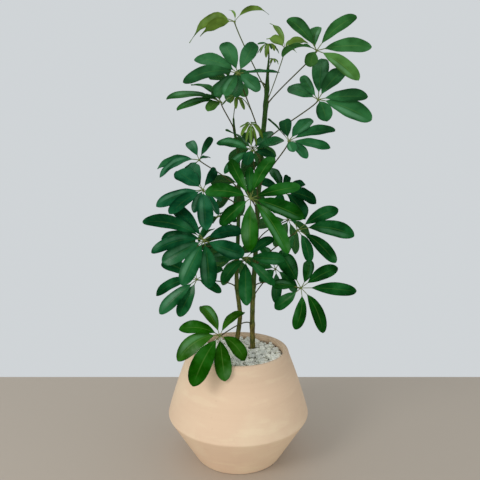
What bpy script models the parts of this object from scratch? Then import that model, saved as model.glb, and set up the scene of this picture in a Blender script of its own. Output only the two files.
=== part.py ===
"""Potted umbrella plant: two stems with compound leaves in a creased terracotta pot topped with marble chips.

Metres, +Z up. The origin is the centre of the pot's flat base, on the surface that it stands on.
The viewer of the plant stands towards -Y, and +X is on the viewer's right.
"""
import math
import random

import bmesh
import bpy
from mathutils import Matrix, Quaternion, Vector

# Pot
BASE_RADIUS = 0.103
BELLY_RADIUS = 0.1675        # where the two cones would meet in a sharp crease
BELLY_HEIGHT = 0.106
SHOULDER_RADIUS = 0.121
SHOULDER_HEIGHT = 0.245
RIM_HEIGHT = 0.259
RIM_RADIUS = 0.1125          # middle of the lip
LIP = (                      # outwards from the middle of the lip, and below the rim
    (0.0065, 0.0065), (0.0035, 0.0020), (0.0, 0.0), (-0.0045, 0.0020), (-0.0075, 0.0080), (-0.0070, 0.0140))
MOUTH_RADIUS = 0.105
WALL = 0.014
FLOOR = 0.013
FOOT_ROUNDING = 0.003
CREASE_ROUNDING = 0.005
UPPER_BULGE = 0.002
POT_STEPS = 48
POT_SMOOTHING = math.radians(20)

# Filling
GAP = 0.0003                 # left between touching pieces
SOIL_TOP = 0.234
PEBBLE_TOP = 0.240           # top of the bed that the chips stand out of
HOLE_DEPTH = 0.060           # how far the stems stand in the soil
BED_CLEARANCE = 0.0035       # left round the foot of the bed
BED_TOP_CLEARANCE = 0.0012
CHIP_SIZE = 0.021
CHIP_LENGTH = (0.72, 1.0)    # least and greatest share of the chip size
CHIP_WIDTH = (0.60, 0.85)
CHIP_HEIGHT = 0.62
CHIP_PULL = (0.70, 1.12)     # how far each corner is pulled in or out
CHIP_LEAN = math.radians(20)
CHIP_PITCH = 0.0220
CHIP_SCATTER = 0.002
CHIP_INSET = 0.013           # from the mouth to the outermost chip's middle
CHIP_LEVELS = (-0.0005, 0.0030)
CHIP_SEED = 7

# Stems: points (x, y, z) from the foot up, with the radius at each point
STEM_SIDES = 8
STEM_SMOOTHING = math.radians(50)
STEM_FOOT = SOIL_TOP - HOLE_DEPTH
STEM_FRONT = (
    ((0.035, 0.038, STEM_FOOT), 0.0063),
    ((0.035, 0.038, 0.250), 0.0063),
    ((0.034, 0.036, 0.315), 0.0060),
    ((0.036, 0.033, 0.400), 0.0058),
    ((0.040, 0.030, 0.460), 0.0057),
    ((0.044, 0.028, 0.560), 0.0056),
    ((0.048, 0.028, 0.636), 0.0055),
    ((0.054, 0.030, 0.728), 0.0055),
    ((0.060, 0.030, 0.790), 0.0056),
    ((0.065, 0.030, 0.857), 0.0052),
    ((0.067, 0.030, 0.900), 0.0030),
    ((0.069, 0.030, 0.928), 0.0018),
    ((0.0685, 0.030, 0.948), 0.0014),
)
STEM_BACK = (
    ((-0.004, 0.050, STEM_FOOT), 0.0058),
    ((-0.004, 0.050, 0.250), 0.0058),
    ((0.002, 0.045, 0.300), 0.0056),
    ((0.004, 0.040, 0.330), 0.0054),
    ((-0.003, 0.032, 0.395), 0.0052),
    ((-0.004, 0.027, 0.442), 0.0049),
    ((-0.001, 0.022, 0.515), 0.0045),
    ((0.001, 0.020, 0.610), 0.0042),
    ((0.000, 0.028, 0.711), 0.0036),
    ((-0.009, 0.037, 0.768), 0.0028),
    ((-0.011, 0.040, 0.795), 0.0022),
)
STEMS = {"stem_front": STEM_FRONT, "stem_back": STEM_BACK}

# Leaf form
HUB_RADIUS = 0.0050
HUB_DEPTH = 0.0026
PETIOLE_RADIUS = 0.0016
PETIOLE_RINGS = ((0.06, 1.25), (0.36, 1.0), (0.70, 1.05), (1.0, 1.45))   # share of the way, of the radius
PETIOLE_START = 0.12         # how long it holds its first direction, as a share of its span
PETIOLE_END = 0.28
PETIOLE_RISE = 1.5           # how steeply it leaves the stem: 0 is square to it
PETIOLULE_SHARE = 0.15       # of a leaflet's reach, before its blade starts
PETIOLULE_WIDTH = 0.0022
HUB_CLEARANCE = 1.5          # a blade starts this many hub radii out, or more
PETIOLULE_THICKNESS = 0.0016
BLADE_WIDTH = 0.021          # a leaflet is this wide, and wider with its reach
WIDTH_PER_REACH = 0.12
BLADE_THICKNESS = 0.0010
BLADE_STATIONS = ((0.32, 0.82), (0.71, 0.96), (1.0, 0.24))               # share of the blade, of the width
TAILED_STATIONS = ((0.18, 0.72), (0.38, 0.98), (0.62, 0.92), (1.0, 0.08))   # for a leaflet with a tail
ROLL_REACH = 0.35            # share of the reach over which a leaflet turns into its roll
ARCH = 0.02                  # rise of a leaflet's middle, as a share of its reach
TOWARDS_VIEWER = Vector((0, -1, 0))
LIFT = math.radians(4)       # neighbours rise and fall by this, so that they pass clear
LEAF_SMOOTHING = math.radians(40)

# Leaves. facing: the side that the upper face looks to, 0 towards the viewer and 90 to the right, and
# tilt: its angle above the horizon, in degrees. bend: how far the tips curve back. droop: how far a limp
# leaflet's tip hangs, for each square metre of its reach squared. Every second leaflet is lifted a little,
# from the first one on where first_up is set.
# leaflets: clock direction in degrees, seen from the upper face, and reach from hub to tip. Then, as far as
# a row goes on, the arch and the sideways bow of the middle as shares of the reach, the width as a multiple,
# the roll about its own length in degrees, the share of the leaf's droop and how far the tip stands nearer
# the viewer as a share of the reach. bare: the share of a leaflet's reach that is only its stalk.
LEAVES = {
    "leaf_low_front": dict(
        stem="stem_front", joint=0.303, hub=(-0.040, -0.095, 0.321), facing=10, tilt=40, bend=0.020,
        bare=0.13,
        leaflets=((46, 0.091, 0.05, -0.07, 0.75, -20), (136, 0.075, 0.06, -0.06, 1.05),
                  (176, 0.092, 0.02, 0.02, 1.15), (212, 0.120, 0.03, 0.04, 1.25),
                  (246, 0.101, 0.08, 0.09, 1.15), (289, 0.090, 0.06, 0.05, 1.0, 0, 1, 0.12),
                  (338, 0.090, 0.05, 0.04, 0.88))),
    "leaf_low_left": dict(
        stem="stem_back", joint=0.398, hub=(-0.094, -0.030, 0.431), facing=-10, tilt=35, bend=0.025,
        leaflets=((50, 0.065, 0.03, 0, 0.8), (111, 0.059, 0.035, -0.02, 0.8),
                  (206, 0.088, 0, -0.03, 1.08), (225, 0.113, 0.01, -0.01, 0.97),
                  (253, 0.106, 0.06, 0.045, 0.8), (296, 0.108, 0.035, 0.02, 0.95),
                  (340, 0.080, 0.02, 0, 0.9))),
    "leaf_big_left": dict(
        stem="stem_back", joint=0.470, hub=(-0.070, -0.120, 0.534), facing=10, tilt=30, bend=0.020,
        bare=0.13,
        leaflets=((71, 0.091, 0.045, -0.02, 0.95), (108, 0.089, -0.01, 0.04, 1.2),
                  (176, 0.096, 0.02, -0.02, 1.1), (208, 0.104, 0.02, 0, 1.0),
                  (247, 0.094, 0.01, -0.015, 1.1), (259, 0.109, 0.055, 0.05, 0.75),
                  (280, 0.088, 0.03, 0.02, 0.9), (291, 0.133, 0.06, 0.055, 0.82),
                  (327, 0.115, 0.02, 0, 0.9))),
    "leaf_mid_left": dict(
        stem="stem_back", joint=0.590, hub=(-0.073, -0.095, 0.636), facing=10, tilt=50, bend=0.020,
        bare=0.14,
        leaflets=((22, 0.105, 0.02, 0, 0.7, 50), (116, 0.042, 0.02, 0, 0.7, 0, 1, -0.35),
                  (150, 0.058, 0.02, 0, 0.6, 0, 1, -0.05), (181, 0.105, 0.02, 0, 0.95),
                  (206, 0.050, 0.01, 0, 0.75, 0, 1, -0.15), (232, 0.091, 0.02, 0, 0.95),
                  (258, 0.099, 0.02, 0.01, 1.1), (329, 0.089, 0, -0.02, 1.4, 0, 1, 0.35),
                  (358, 0.121, 0, -0.06, 0.75, 0, 1, 0.25))),
    "leaf_upper_left": dict(
        stem="stem_back", joint=0.635, hub=(-0.089, 0.010, 0.700), facing=-20, tilt=40, bend=0.025,
        first_up=True,
        leaflets=((25, 0.030, -0.02, 0, 0.6), (232, 0.052, -0.03, -0.03, 1.2),
                  (249, 0.104, 0.08, 0.05, 0.97), (272, 0.125, 0.035, 0.01, 0.9),
                  (322, 0.094, 0.03, 0.025, 0.78), (356, 0.102, 0, 0.03, 0.55, 35))),
    "leaf_upper_centre": dict(
        stem="stem_front", joint=0.610, hub=(0.031, -0.045, 0.718), facing=0, tilt=45, bend=0.020,
        bare=0.14,
        leaflets=((27, 0.107, 0.015, 0.005, 0.6), (53, 0.088, -0.005, 0.02, 0.86), (84, 0.050, 0, 0.05),
                  (204, 0.030, 0.05, 0.05, 1.05, 0, 1, 0.7), (234, 0.075, 0.04, 0.025, 0.7),
                  (298, 0.089, 0.015, -0.005, 0.95), (329, 0.115, 0.035, 0.015, 0.8, 45))),
    "leaf_top_left": dict(
        stem="stem_front", joint=0.740, hub=(0.000, -0.060, 0.876), facing=0, tilt=30, bend=0.020,
        first_up=True, bare=0.12,
        leaflets=((20, 0.102, -0.005, 0.02, 1.0), (74, 0.093, 0.005, 0.015, 0.9, -35),
                  (124, 0.055, 0.01, 0.01, 1.2), (186, 0.042, 0.03, -0.02, 1.0, 0, 1, -0.22),
                  (211, 0.054, 0.02, 0, 1.0, 0, 1, 0.15), (232, 0.062, 0.015, 0, 1.0),
                  (263, 0.116, 0.06, 0.035, 1.0), (304, 0.115, 0.04, 0.02, 1.0),
                  (342, 0.100, 0.03, -0.01, 1.1))),
    "leaf_left_tip": dict(
        stem="stem_back", joint=0.770, hub=(-0.037, -0.020, 0.823), facing=20, tilt=60, bend=0.012,
        first_up=True,
        leaflets=((228, 0.051, 0.07, 0.02, 0.9, 0, 1, 0.1), (264, 0.099, 0.065, 0.03, 0.95),
                  (275, 0.119, 0.08, 0.02, 1.14), (303, 0.060, 0.12, 0.03, 1.05, 0, 1, -0.1),
                  (336, 0.105, 0.09, 0.035, 0.85, 0, 1, 0.2), (352, 0.085, 0.09, 0.03, 1.1, 0, 1, -0.35))),
    "leaf_right_top": dict(
        stem="stem_front", joint=0.824, hub=(0.169, -0.020, 0.931), facing=-10, tilt=25, bend=0.010,
        leaflets=((4, 0.080, 0.02, -0.12, 0.85, 0, 1, -0.18), (44, 0.120, 0.045, -0.04, 0.95),
                  (81, 0.118, 0.03, -0.01, 1.1), (131, 0.117, 0.045, -0.02, 0.98),
                  (201, 0.034, 0.05, 0.1, 1.2), (250, 0.084, 0.14, 0.045, 0.95, 45, 1, 0.85),
                  (327, 0.125, 0.035, 0.025, 0.88))),
    "leaf_right_upper": dict(
        stem="stem_front", joint=0.735, hub=(0.171, -0.040, 0.826), facing=-20, tilt=30, bend=0.015,
        leaflets=((24, 0.104, 0.02, -0.01, 1.15, 0, 1, 0.12), (86, 0.103, 0.02, 0, 0.96),
                  (110, 0.120, 0.03, -0.01, 1.17), (158, 0.054, 0.03, -0.04, 1.25, 0, 1, 0.18),
                  (307, 0.097, 0.01, -0.01, 1.08), (328, 0.087, 0.005, -0.025, 0.7),
                  (355, 0.135, 0.02, 0.01, 1.0))),
    "leaf_right_mid": dict(
        stem="stem_front", joint=0.640, hub=(0.106, -0.075, 0.737), facing=-15, tilt=40, bend=0.015,
        first_up=True,
        leaflets=((28, 0.083, 0.01, 0.01, 1.1), (61, 0.105, 0.03, -0.01, 0.9),
                  (99, 0.088, 0.015, 0.005, 0.8), (128, 0.052, 0.03, -0.02, 0.8, 0, 1, -0.1),
                  (152, 0.022, 0.02, 0, 0.9, 0, 1, 0.5), (328, 0.112, 0.02, 0, 0.45, 75, 1, -0.35),
                  (347, 0.076, 0.02, -0.025, 0.95))),
    "leaf_centre_front": dict(
        stem="stem_front", joint=0.560, hub=(0.025, -0.150, 0.621), facing=-10, tilt=25, bend=0.020,
        bare=0.14,
        leaflets=((20, 0.110, 0.035, -0.03, 0.83), (72, 0.101, 0.02, 0, 0.83),
                  (106, 0.109, 0.025, -0.005, 0.96), (144, 0.134, 0.04, -0.04, 0.73),
                  (179, 0.101, 0.02, 0, 0.99), (229, 0.079, 0.02, 0, 0.95),
                  (284, 0.103, 0.045, 0.03, 0.96, 0, 1, 0.25), (331, 0.105, 0.015, -0.02, 0.71),
                  (352, 0.081, 0.02, 0, 0.61))),
    "leaf_centre_low": dict(
        stem="stem_back", joint=0.440, hub=(0.018, -0.080, 0.490), facing=-10, tilt=30, bend=0.025,
        leaflets=((41, 0.080, 0.025, -0.005, 0.77), (86, 0.081, 0.005, 0.015, 0.99),
                  (129, 0.079, 0.01, 0.02, 0.69), (176, 0.101, 0.02, 0.02, 0.89),
                  (228, 0.073, 0.035, 0.025, 0.87), (272, 0.080, 0.02, 0, 0.85))),
    "leaf_right_face": dict(
        stem="stem_front", joint=0.452, hub=(0.129, -0.060, 0.547), facing=-10, tilt=25, bend=0.020,
        bare=0.2,
        leaflets=((55, 0.107, 0.03, -0.02, 0.95), (93, 0.122, 0.055, -0.05, 0.98),
                  (127, 0.105, 0.04, -0.045, 0.85), (158, 0.073, 0.04, -0.08, 0.78),
                  (210, 0.064, 0.03, 0, 0.7), (340, 0.075, 0.03, 0, 0.9))),
    "leaf_right_low": dict(
        stem="stem_front", joint=0.400, hub=(0.140, -0.050, 0.416), facing=-15, tilt=30, bend=0.020,
        bare=0.2,
        leaflets=((6, 0.076, 0, 0.1, 0.85), (53, 0.096, 0.02, -0.01, 0.95), (86, 0.121, 0.015, 0, 0.85),
                  (150, 0.109, 0.03, -0.08, 0.82), (186, 0.089, 0, -0.1, 0.85),
                  (231, 0.074, 0, -0.04, 1.0), (280, 0.070, 0.03, 0, 0.85), (327, 0.096, 0.03, 0, 1.3))),
    "leaf_inner_low": dict(
        stem="stem_front", joint=0.376, hub=(0.092, 0.070, 0.435), facing=30, tilt=30, bend=0.020,
        leaflets=((188, 0.080), (244, 0.050), (300, 0.060), (350, 0.070), (50, 0.080), (140, 0.080))),
    "leaf_inner_right": dict(
        stem="stem_front", joint=0.560, hub=(0.106, 0.045, 0.626), facing=25, tilt=40, bend=0.025,
        leaflets=((10, 0.105, -0.005, -0.04, 0.95), (36, 0.080, 0.02, -0.025, 0.62),
                  (61, 0.110, 0.01, 0.01, 0.68), (100, 0.098, 0.025, 0, 1.3),
                  (137, 0.081, 0.04, -0.02, 1.5), (215, 0.055), (320, 0.080))),
    "leaf_inner_left": dict(
        stem="stem_back", joint=0.535, hub=(-0.045, 0.050, 0.568), facing=-60, tilt=65, bend=0.025,
        leaflets=((235, 0.070), (275, 0.070), (315, 0.070), (0, 0.060), (60, 0.040), (180, 0.075))),
    "leaf_inner_high": dict(
        stem="stem_front", joint=0.590, hub=(0.004, 0.110, 0.645), facing=200, tilt=25, bend=0.025,
        leaflets=((345, 0.075), (30, 0.080), (80, 0.085), (130, 0.080), (185, 0.085), (235, 0.080),
                  (295, 0.060))),
    "leaf_behind_low": dict(
        stem="stem_back", joint=0.400, hub=(-0.005, 0.160, 0.450), facing=180, tilt=30, bend=0.030,
        leaflets=((20, 0.080), (65, 0.085), (110, 0.085), (155, 0.090), (205, 0.085), (250, 0.080),
                  (320, 0.080))),
    "leaf_behind_left": dict(
        stem="stem_back", joint=0.480, hub=(-0.105, 0.125, 0.485), facing=-130, tilt=30, bend=0.030,
        leaflets=((10, 0.080), (60, 0.085), (105, 0.085), (160, 0.085), (210, 0.080), (255, 0.080),
                  (310, 0.080))),
    "leaf_behind_right": dict(
        stem="stem_front", joint=0.505, hub=(0.130, 0.150, 0.550), facing=140, tilt=25, bend=0.030,
        leaflets=((0, 0.080), (45, 0.085), (95, 0.090), (145, 0.090), (195, 0.085), (245, 0.080),
                  (300, 0.080))),
    "leaf_behind_high": dict(
        stem="stem_front", joint=0.690, hub=(0.036, 0.150, 0.735), facing=175, tilt=30, bend=0.030,
        leaflets=((15, 0.060), (60, 0.060), (105, 0.062), (160, 0.065), (210, 0.065), (260, 0.062),
                  (310, 0.060))),
    "leaf_behind_top": dict(
        stem="stem_front", joint=0.865, hub=(-0.022, 0.110, 0.897), facing=190, tilt=35, bend=0.020,
        leaflets=((20, 0.050), (75, 0.055), (130, 0.055), (185, 0.055), (235, 0.055), (295, 0.050))),
    "young_left_high": dict(
        stem="stem_front", joint=0.857, hub=(-0.008, 0.020, 1.002), facing=0, tilt=20, bend=0.0,
        tailed=True, droop=6.5, arch=0.14, width=0.85,
        leaflets=((62, 0.088, 0.17, -0.03, 0.55, 0, 0.32), (276, 0.076, 0, 0, 0.95, 0, 1.2, 0.2),
                  (290, 0.110, 0.065, 0, 1.1, 0, 0.92), (336, 0.032, 0.1, 0.2, 0.25, 0, 0.2))),
    "young_right_high": dict(
        stem="stem_front", joint=0.828, hub=(0.100, -0.030, 0.932), facing=0, tilt=35, bend=0.0,
        tailed=True, droop=1.0, arch=0.08, width=0.55,
        leaflets=((24, 0.036, 0.02, -0.04, 0.45, 0, 1, 0.2), (72, 0.053, 0.13, -0.08, 1.5),
                  (104, 0.026, 0.12, -0.07, 0.5, 0, 1, -0.2), (308, 0.050, 0.09, 0.06, 1.6),
                  (345, 0.113, 0.045, 0.04, 0.75))),
    "sprout_top": dict(
        stem="stem_front", joint=None, hub=(0.069, 0.030, 0.957), facing=0, tilt=80, bend=0.0,
        droop=36, arch=0.10, width=0.42,
        leaflets=((25, 0.016, 0.1, 0, 0.7), (66, 0.020, 0.1, 0, 0.75), (103, 0.023, 0.1, 0, 0.85),
                  (150, 0.022, 0.1, 0, 0.9), (196, 0.028, 0.08, 0, 0.95), (232, 0.026, 0.08, 0, 0.7, 0, 0.9),
                  (262, 0.026, 0.08, 0, 0.65, 0, 0.75), (287, 0.027, 0.08, 0, 0.5, 50, 0.05),
                  (330, 0.016, 0.1, 0, 0.7))),
    "sprout_second": dict(
        stem="stem_front", joint=0.902, hub=(0.077, 0.012, 0.9215), facing=20, tilt=70, bend=0.0,
        droop=45, arch=0.10, width=0.30,
        leaflets=((50, 0.013, 0.1, 0, 0.45), (95, 0.013, 0.1, 0, 0.6), (140, 0.014, 0.1, 0, 0.6),
                  (185, 0.013, 0.1, 0, 0.6), (228, 0.014, 0.1, 0, 0.6), (270, 0.013, 0.1, 0, 0.6),
                  (315, 0.012, 0.1, 0, 0.45))),
    "sprout_left": dict(
        stem="stem_back", joint=None, hub=(-0.004, 0.020, 0.8405), facing=10, tilt=70, bend=0.0,
        droop=34, arch=0.08, width=0.50,
        leaflets=((28, 0.015, 0.08, 0, 0.45), (65, 0.021, 0.12, 0, 0.35, 0, 0),
                  (105, 0.033, 0.08, 0, 0.55, 0, 0.68), (150, 0.027, 0.08, 0, 0.85),
                  (192, 0.024, 0.08, 0, 0.75), (234, 0.020, 0.08, 0, 0.55),
                  (265, 0.033, 0.08, 0, 0.75, 0, 0.43), (297, 0.020, 0.08, 0, 0.5, 0, 0.2),
                  (330, 0.015, 0.08, 0, 0.45))),
    "sprout_centre": dict(
        stem="stem_front", joint=0.692, hub=(0.027, -0.060, 0.772), facing=0, tilt=45, bend=0.0,
        droop=17, arch=0.12, width=0.45,
        leaflets=((15, 0.013, 0.12, 0, 0.5), (60, 0.014, 0.12, 0, 0.5), (100, 0.022, 0.12, 0, 0.7, 0, 1.3),
                  (130, 0.032, 0.12, 0, 0.75), (160, 0.034, 0.12, 0, 0.5), (181, 0.036, 0.12, 0, 0.55),
                  (200, 0.031, 0.12, 0, 0.5), (228, 0.028, 0.12, 0, 0.8),
                  (262, 0.024, 0.1, 0, 0.5, 0, 0.3), (300, 0.014, 0.1, 0, 0.6))),
}

# Finishes: colour and roughness
TERRACOTTA = ((0.78, 0.60, 0.42), 0.75)
SOIL = ((0.05, 0.035, 0.025), 0.95)
MARBLE = ((0.80, 0.80, 0.78), 0.6)
BARK = ((0.16, 0.15, 0.06), 0.7)
LEAF = ((0.03, 0.13, 0.04), 0.35)
YOUNG_LEAF = ((0.16, 0.24, 0.04), 0.45)


def clear_scene():
    for existing in list(bpy.data.objects):
        bpy.data.objects.remove(existing)


def material(name, finish):
    colour, roughness = finish
    made = bpy.data.materials.new(name)
    made.use_nodes = True
    shader = made.node_tree.nodes["Principled BSDF"]
    shader.inputs["Base Color"].default_value = (*colour, 1.0)
    shader.inputs["Roughness"].default_value = roughness
    shader.inputs["Metallic"].default_value = 0.0
    return made


def add_object(name, shape, coat, smooth_angle=None):
    mesh = bpy.data.meshes.new(name)
    bmesh.ops.recalc_face_normals(shape, faces=shape.faces)
    shape.to_mesh(mesh)
    shape.free()
    mesh.materials.append(coat)
    if smooth_angle is not None:
        mesh.shade_smooth()
        mesh.set_sharp_from_angle(angle=smooth_angle)
    made = bpy.data.objects.new(name, mesh)
    bpy.context.collection.objects.link(made)
    return made


def turned(profile):
    """A closed body of revolution about Z from a profile that starts and ends on the axis."""
    shape = bmesh.new()
    points = [shape.verts.new((radius, 0.0, height)) for radius, height in profile]
    edges = [shape.edges.new(pair) for pair in zip(points, points[1:])]
    bmesh.ops.spin(shape, geom=points + edges, cent=(0, 0, 0), axis=(0, 0, 1),
                   angle=math.tau, steps=POT_STEPS, use_merge=True)
    bmesh.ops.remove_doubles(shape, verts=shape.verts, dist=0.00005)
    return shape


def rounded_corner(before, corner, after, reach, steps):
    """Points of a soft corner that starts and ends at the given reach from it."""
    corner = Vector(corner)
    start = corner + (Vector(before) - corner).normalized() * reach
    end = corner + (Vector(after) - corner).normalized() * reach
    points = []
    for step in range(steps + 1):
        share = step / steps
        points.append(start.lerp(corner, share).lerp(corner.lerp(end, share), share))
    return [tuple(point) for point in points]


def inner_radius(height):
    """Inner wall of the pot at a height below its mouth."""
    if height < BELLY_HEIGHT:
        share = height / BELLY_HEIGHT
        return BASE_RADIUS + (BELLY_RADIUS - BASE_RADIUS) * share - WALL
    share = (height - BELLY_HEIGHT) / (SHOULDER_HEIGHT - BELLY_HEIGHT)
    return BELLY_RADIUS + (SHOULDER_RADIUS - BELLY_RADIUS) * share - WALL


def pot_profile():
    base = (BASE_RADIUS, 0.0)
    belly = (BELLY_RADIUS, BELLY_HEIGHT)
    shoulder = (SHOULDER_RADIUS, SHOULDER_HEIGHT)
    middle = ((BELLY_RADIUS + SHOULDER_RADIUS) / 2 + UPPER_BULGE, (BELLY_HEIGHT + SHOULDER_HEIGHT) / 2)
    profile = [(0.0, 0.0)]
    profile += rounded_corner((0.0, 0.0), base, belly, FOOT_ROUNDING, 2)
    profile += rounded_corner(base, belly, middle, CREASE_ROUNDING, 3)
    profile += [middle, shoulder]
    profile += [(RIM_RADIUS + outwards, RIM_HEIGHT - below) for outwards, below in LIP]
    profile += [(inner_radius(SOIL_TOP), SOIL_TOP), (inner_radius(BELLY_HEIGHT), BELLY_HEIGHT)]
    profile += [(inner_radius(FLOOR), FLOOR), (0.0, FLOOR)]
    return profile


def add_pot():
    add_object("pot", turned(pot_profile()), material("terracotta", TERRACOTTA), POT_SMOOTHING)


def ring_edges(ring):
    """The edges whose two ends are both in the ring."""
    members = set(ring)
    found = []
    for vertex in ring:
        for edge in vertex.link_edges:
            if set(edge.verts) <= members and edge not in found:
                found.append(edge)
    return found


def stem_ring(shape, centre, radius):
    ring = bmesh.ops.create_circle(shape, cap_ends=False, segments=STEM_SIDES, radius=radius)["verts"]
    bmesh.ops.translate(shape, verts=ring, vec=centre)
    return ring


def stem_shape(points):
    """A slim trunk with level rings, closed at its foot and its top."""
    shape = bmesh.new()
    rings = [stem_ring(shape, centre, radius) for centre, radius in points]
    for lower, upper in zip(rings, rings[1:]):
        edges = [edge for ring in (lower, upper) for edge in ring_edges(ring)]
        bmesh.ops.bridge_loops(shape, edges=edges)
    for ring in (rings[0], rings[-1]):
        bmesh.ops.contextual_create(shape, geom=ring_edges(ring))
    return shape


def stem_cutter():
    """One object with a plain upright hole for each stem, a little wider than the stem."""
    shape = bmesh.new()
    clearance = GAP / math.cos(math.pi / STEM_SIDES)
    for points in STEMS.values():
        (x, y, foot), radius = points[0]
        bottom = foot - GAP
        depth = RIM_HEIGHT + CHIP_SIZE - bottom
        made = bmesh.ops.create_cone(shape, cap_ends=True, segments=STEM_SIDES, radius1=radius + clearance,
                                     radius2=radius + clearance, depth=depth)
        bmesh.ops.translate(shape, verts=made["verts"], vec=(x, y, bottom + depth / 2))
    cutter = add_object("stem_holes", shape, material("cutter", BARK))
    cutter.hide_render = True
    cutter.display_type = "WIRE"
    return cutter


def cut(target, cutter):
    made = target.modifiers.new("stem holes", "BOOLEAN")
    made.operation = "DIFFERENCE"
    made.solver = "EXACT"
    made.object = cutter


def add_soil(cutter):
    top = SOIL_TOP - GAP
    profile = [(0.0, FLOOR + GAP), (inner_radius(FLOOR) - 2 * GAP, FLOOR + GAP)]
    profile += [(inner_radius(BELLY_HEIGHT) - 2 * GAP, BELLY_HEIGHT), (inner_radius(top) - 2 * GAP, top)]
    profile += [(0.0, top)]
    soil = add_object("soil", turned(profile), material("soil", SOIL), POT_SMOOTHING)
    cut(soil, cutter)


def chip_places(rng):
    """Places of the chips on a loose honeycomb that fills the mouth of the pot."""
    places = []
    rows = int(2 * MOUTH_RADIUS / CHIP_PITCH) + 2
    row_pitch = CHIP_PITCH * math.sqrt(3) / 2
    for row in range(-rows, rows + 1):
        for column in range(-rows, rows + 1):
            x = (column + 0.5 * (row % 2)) * CHIP_PITCH + rng.uniform(-CHIP_SCATTER, CHIP_SCATTER)
            y = row * row_pitch + rng.uniform(-CHIP_SCATTER, CHIP_SCATTER)
            if math.hypot(x, y) < MOUTH_RADIUS - CHIP_INSET:
                places.append((x, y))
    return places


def chip_shape(rng, place):
    """One angular chip: a block with every corner pulled out of square, turned at random."""
    shape = bmesh.new()
    made = bmesh.ops.create_cube(shape, size=1.0)["verts"]
    size = Vector((rng.uniform(*CHIP_LENGTH), rng.uniform(*CHIP_WIDTH), CHIP_HEIGHT)) * CHIP_SIZE
    for vertex in made:
        pull = Vector((rng.uniform(*CHIP_PULL), rng.uniform(*CHIP_PULL), rng.uniform(*CHIP_PULL)))
        vertex.co = vertex.co * size * pull
    turn = Matrix.Rotation(rng.uniform(0, math.tau), 4, "Z")
    lean = Matrix.Rotation(rng.uniform(-CHIP_LEAN, CHIP_LEAN), 4, "X")
    move = Matrix.Translation((*place, PEBBLE_TOP + rng.uniform(*CHIP_LEVELS)))
    bmesh.ops.transform(shape, matrix=move @ turn @ lean, verts=made)
    bmesh.ops.triangulate(shape, faces=shape.faces)
    everything = list(shape.verts) + list(shape.edges) + list(shape.faces)
    level = (SOIL_TOP + PEBBLE_TOP) / 2
    opened = bmesh.ops.bisect_plane(shape, geom=everything, plane_co=(0, 0, level), plane_no=(0, 0, 1),
                                    clear_inner=True)["geom_cut"]
    rim = [part for part in opened if isinstance(part, bmesh.types.BMEdge)]
    bmesh.ops.contextual_create(shape, geom=rim)
    return shape


def add_pebbles(cutter):
    """The layer of marble chips, fused into one body with a thin bed under them."""
    rng = random.Random(CHIP_SEED)
    marble = material("marble", MARBLE)
    profile = [(0.0, SOIL_TOP), (inner_radius(SOIL_TOP) - BED_CLEARANCE, SOIL_TOP)]
    profile += [(MOUTH_RADIUS - BED_TOP_CLEARANCE, PEBBLE_TOP), (0.0, PEBBLE_TOP)]
    bed = add_object("pebbles", turned(profile), marble)
    chips = bpy.data.collections.new("chips")
    bpy.context.scene.collection.children.link(chips)
    for number, place in enumerate(chip_places(rng)):
        chip = add_object(f"chip_{number}", chip_shape(rng, place), marble)
        bpy.context.collection.objects.unlink(chip)
        chips.objects.link(chip)
    union = bed.modifiers.new("chips", "BOOLEAN")
    union.operation = "UNION"
    union.solver = "EXACT"
    union.operand_type = "COLLECTION"
    union.collection = chips
    graph = bpy.context.evaluated_depsgraph_get()
    fused = bpy.data.meshes.new_from_object(bed.evaluated_get(graph))
    bed.modifiers.remove(union)
    bed.data = fused
    for chip in list(chips.objects):
        bpy.data.objects.remove(chip)
    bpy.data.collections.remove(chips)
    cut(bed, cutter)


def along_stem(points, height):
    """Centre, radius and direction of a stem at a height."""
    for (lower, lower_radius), (upper, upper_radius) in zip(points, points[1:]):
        if lower[2] <= height <= upper[2]:
            share = (height - lower[2]) / (upper[2] - lower[2])
            direction = (Vector(upper) - Vector(lower)).normalized()
            centre = Vector(lower).lerp(Vector(upper), share)
            return centre, lower_radius + (upper_radius - lower_radius) * share, direction
    raise ValueError("height is not on the stem")


def leaf_axes(facing, tilt):
    """Upper-face normal, 12 o'clock and 3 o'clock directions of a leaf."""
    turn, rise = math.radians(facing), math.radians(tilt)
    normal = Vector((math.sin(turn) * math.cos(rise), -math.cos(turn) * math.cos(rise), math.sin(rise)))
    twelve = (Vector((0, 0, 1)) - normal * normal.z).normalized()
    return normal, twelve, twelve.cross(normal)


def extend(shape, face, corners):
    """Extrude a face and move its copy's corners, which keep their order round the face."""
    grown = bmesh.ops.extrude_discrete_faces(shape, faces=[face])["faces"][0]
    for vertex, corner in zip(grown.verts, corners):
        vertex.co = corner
    return grown


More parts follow.
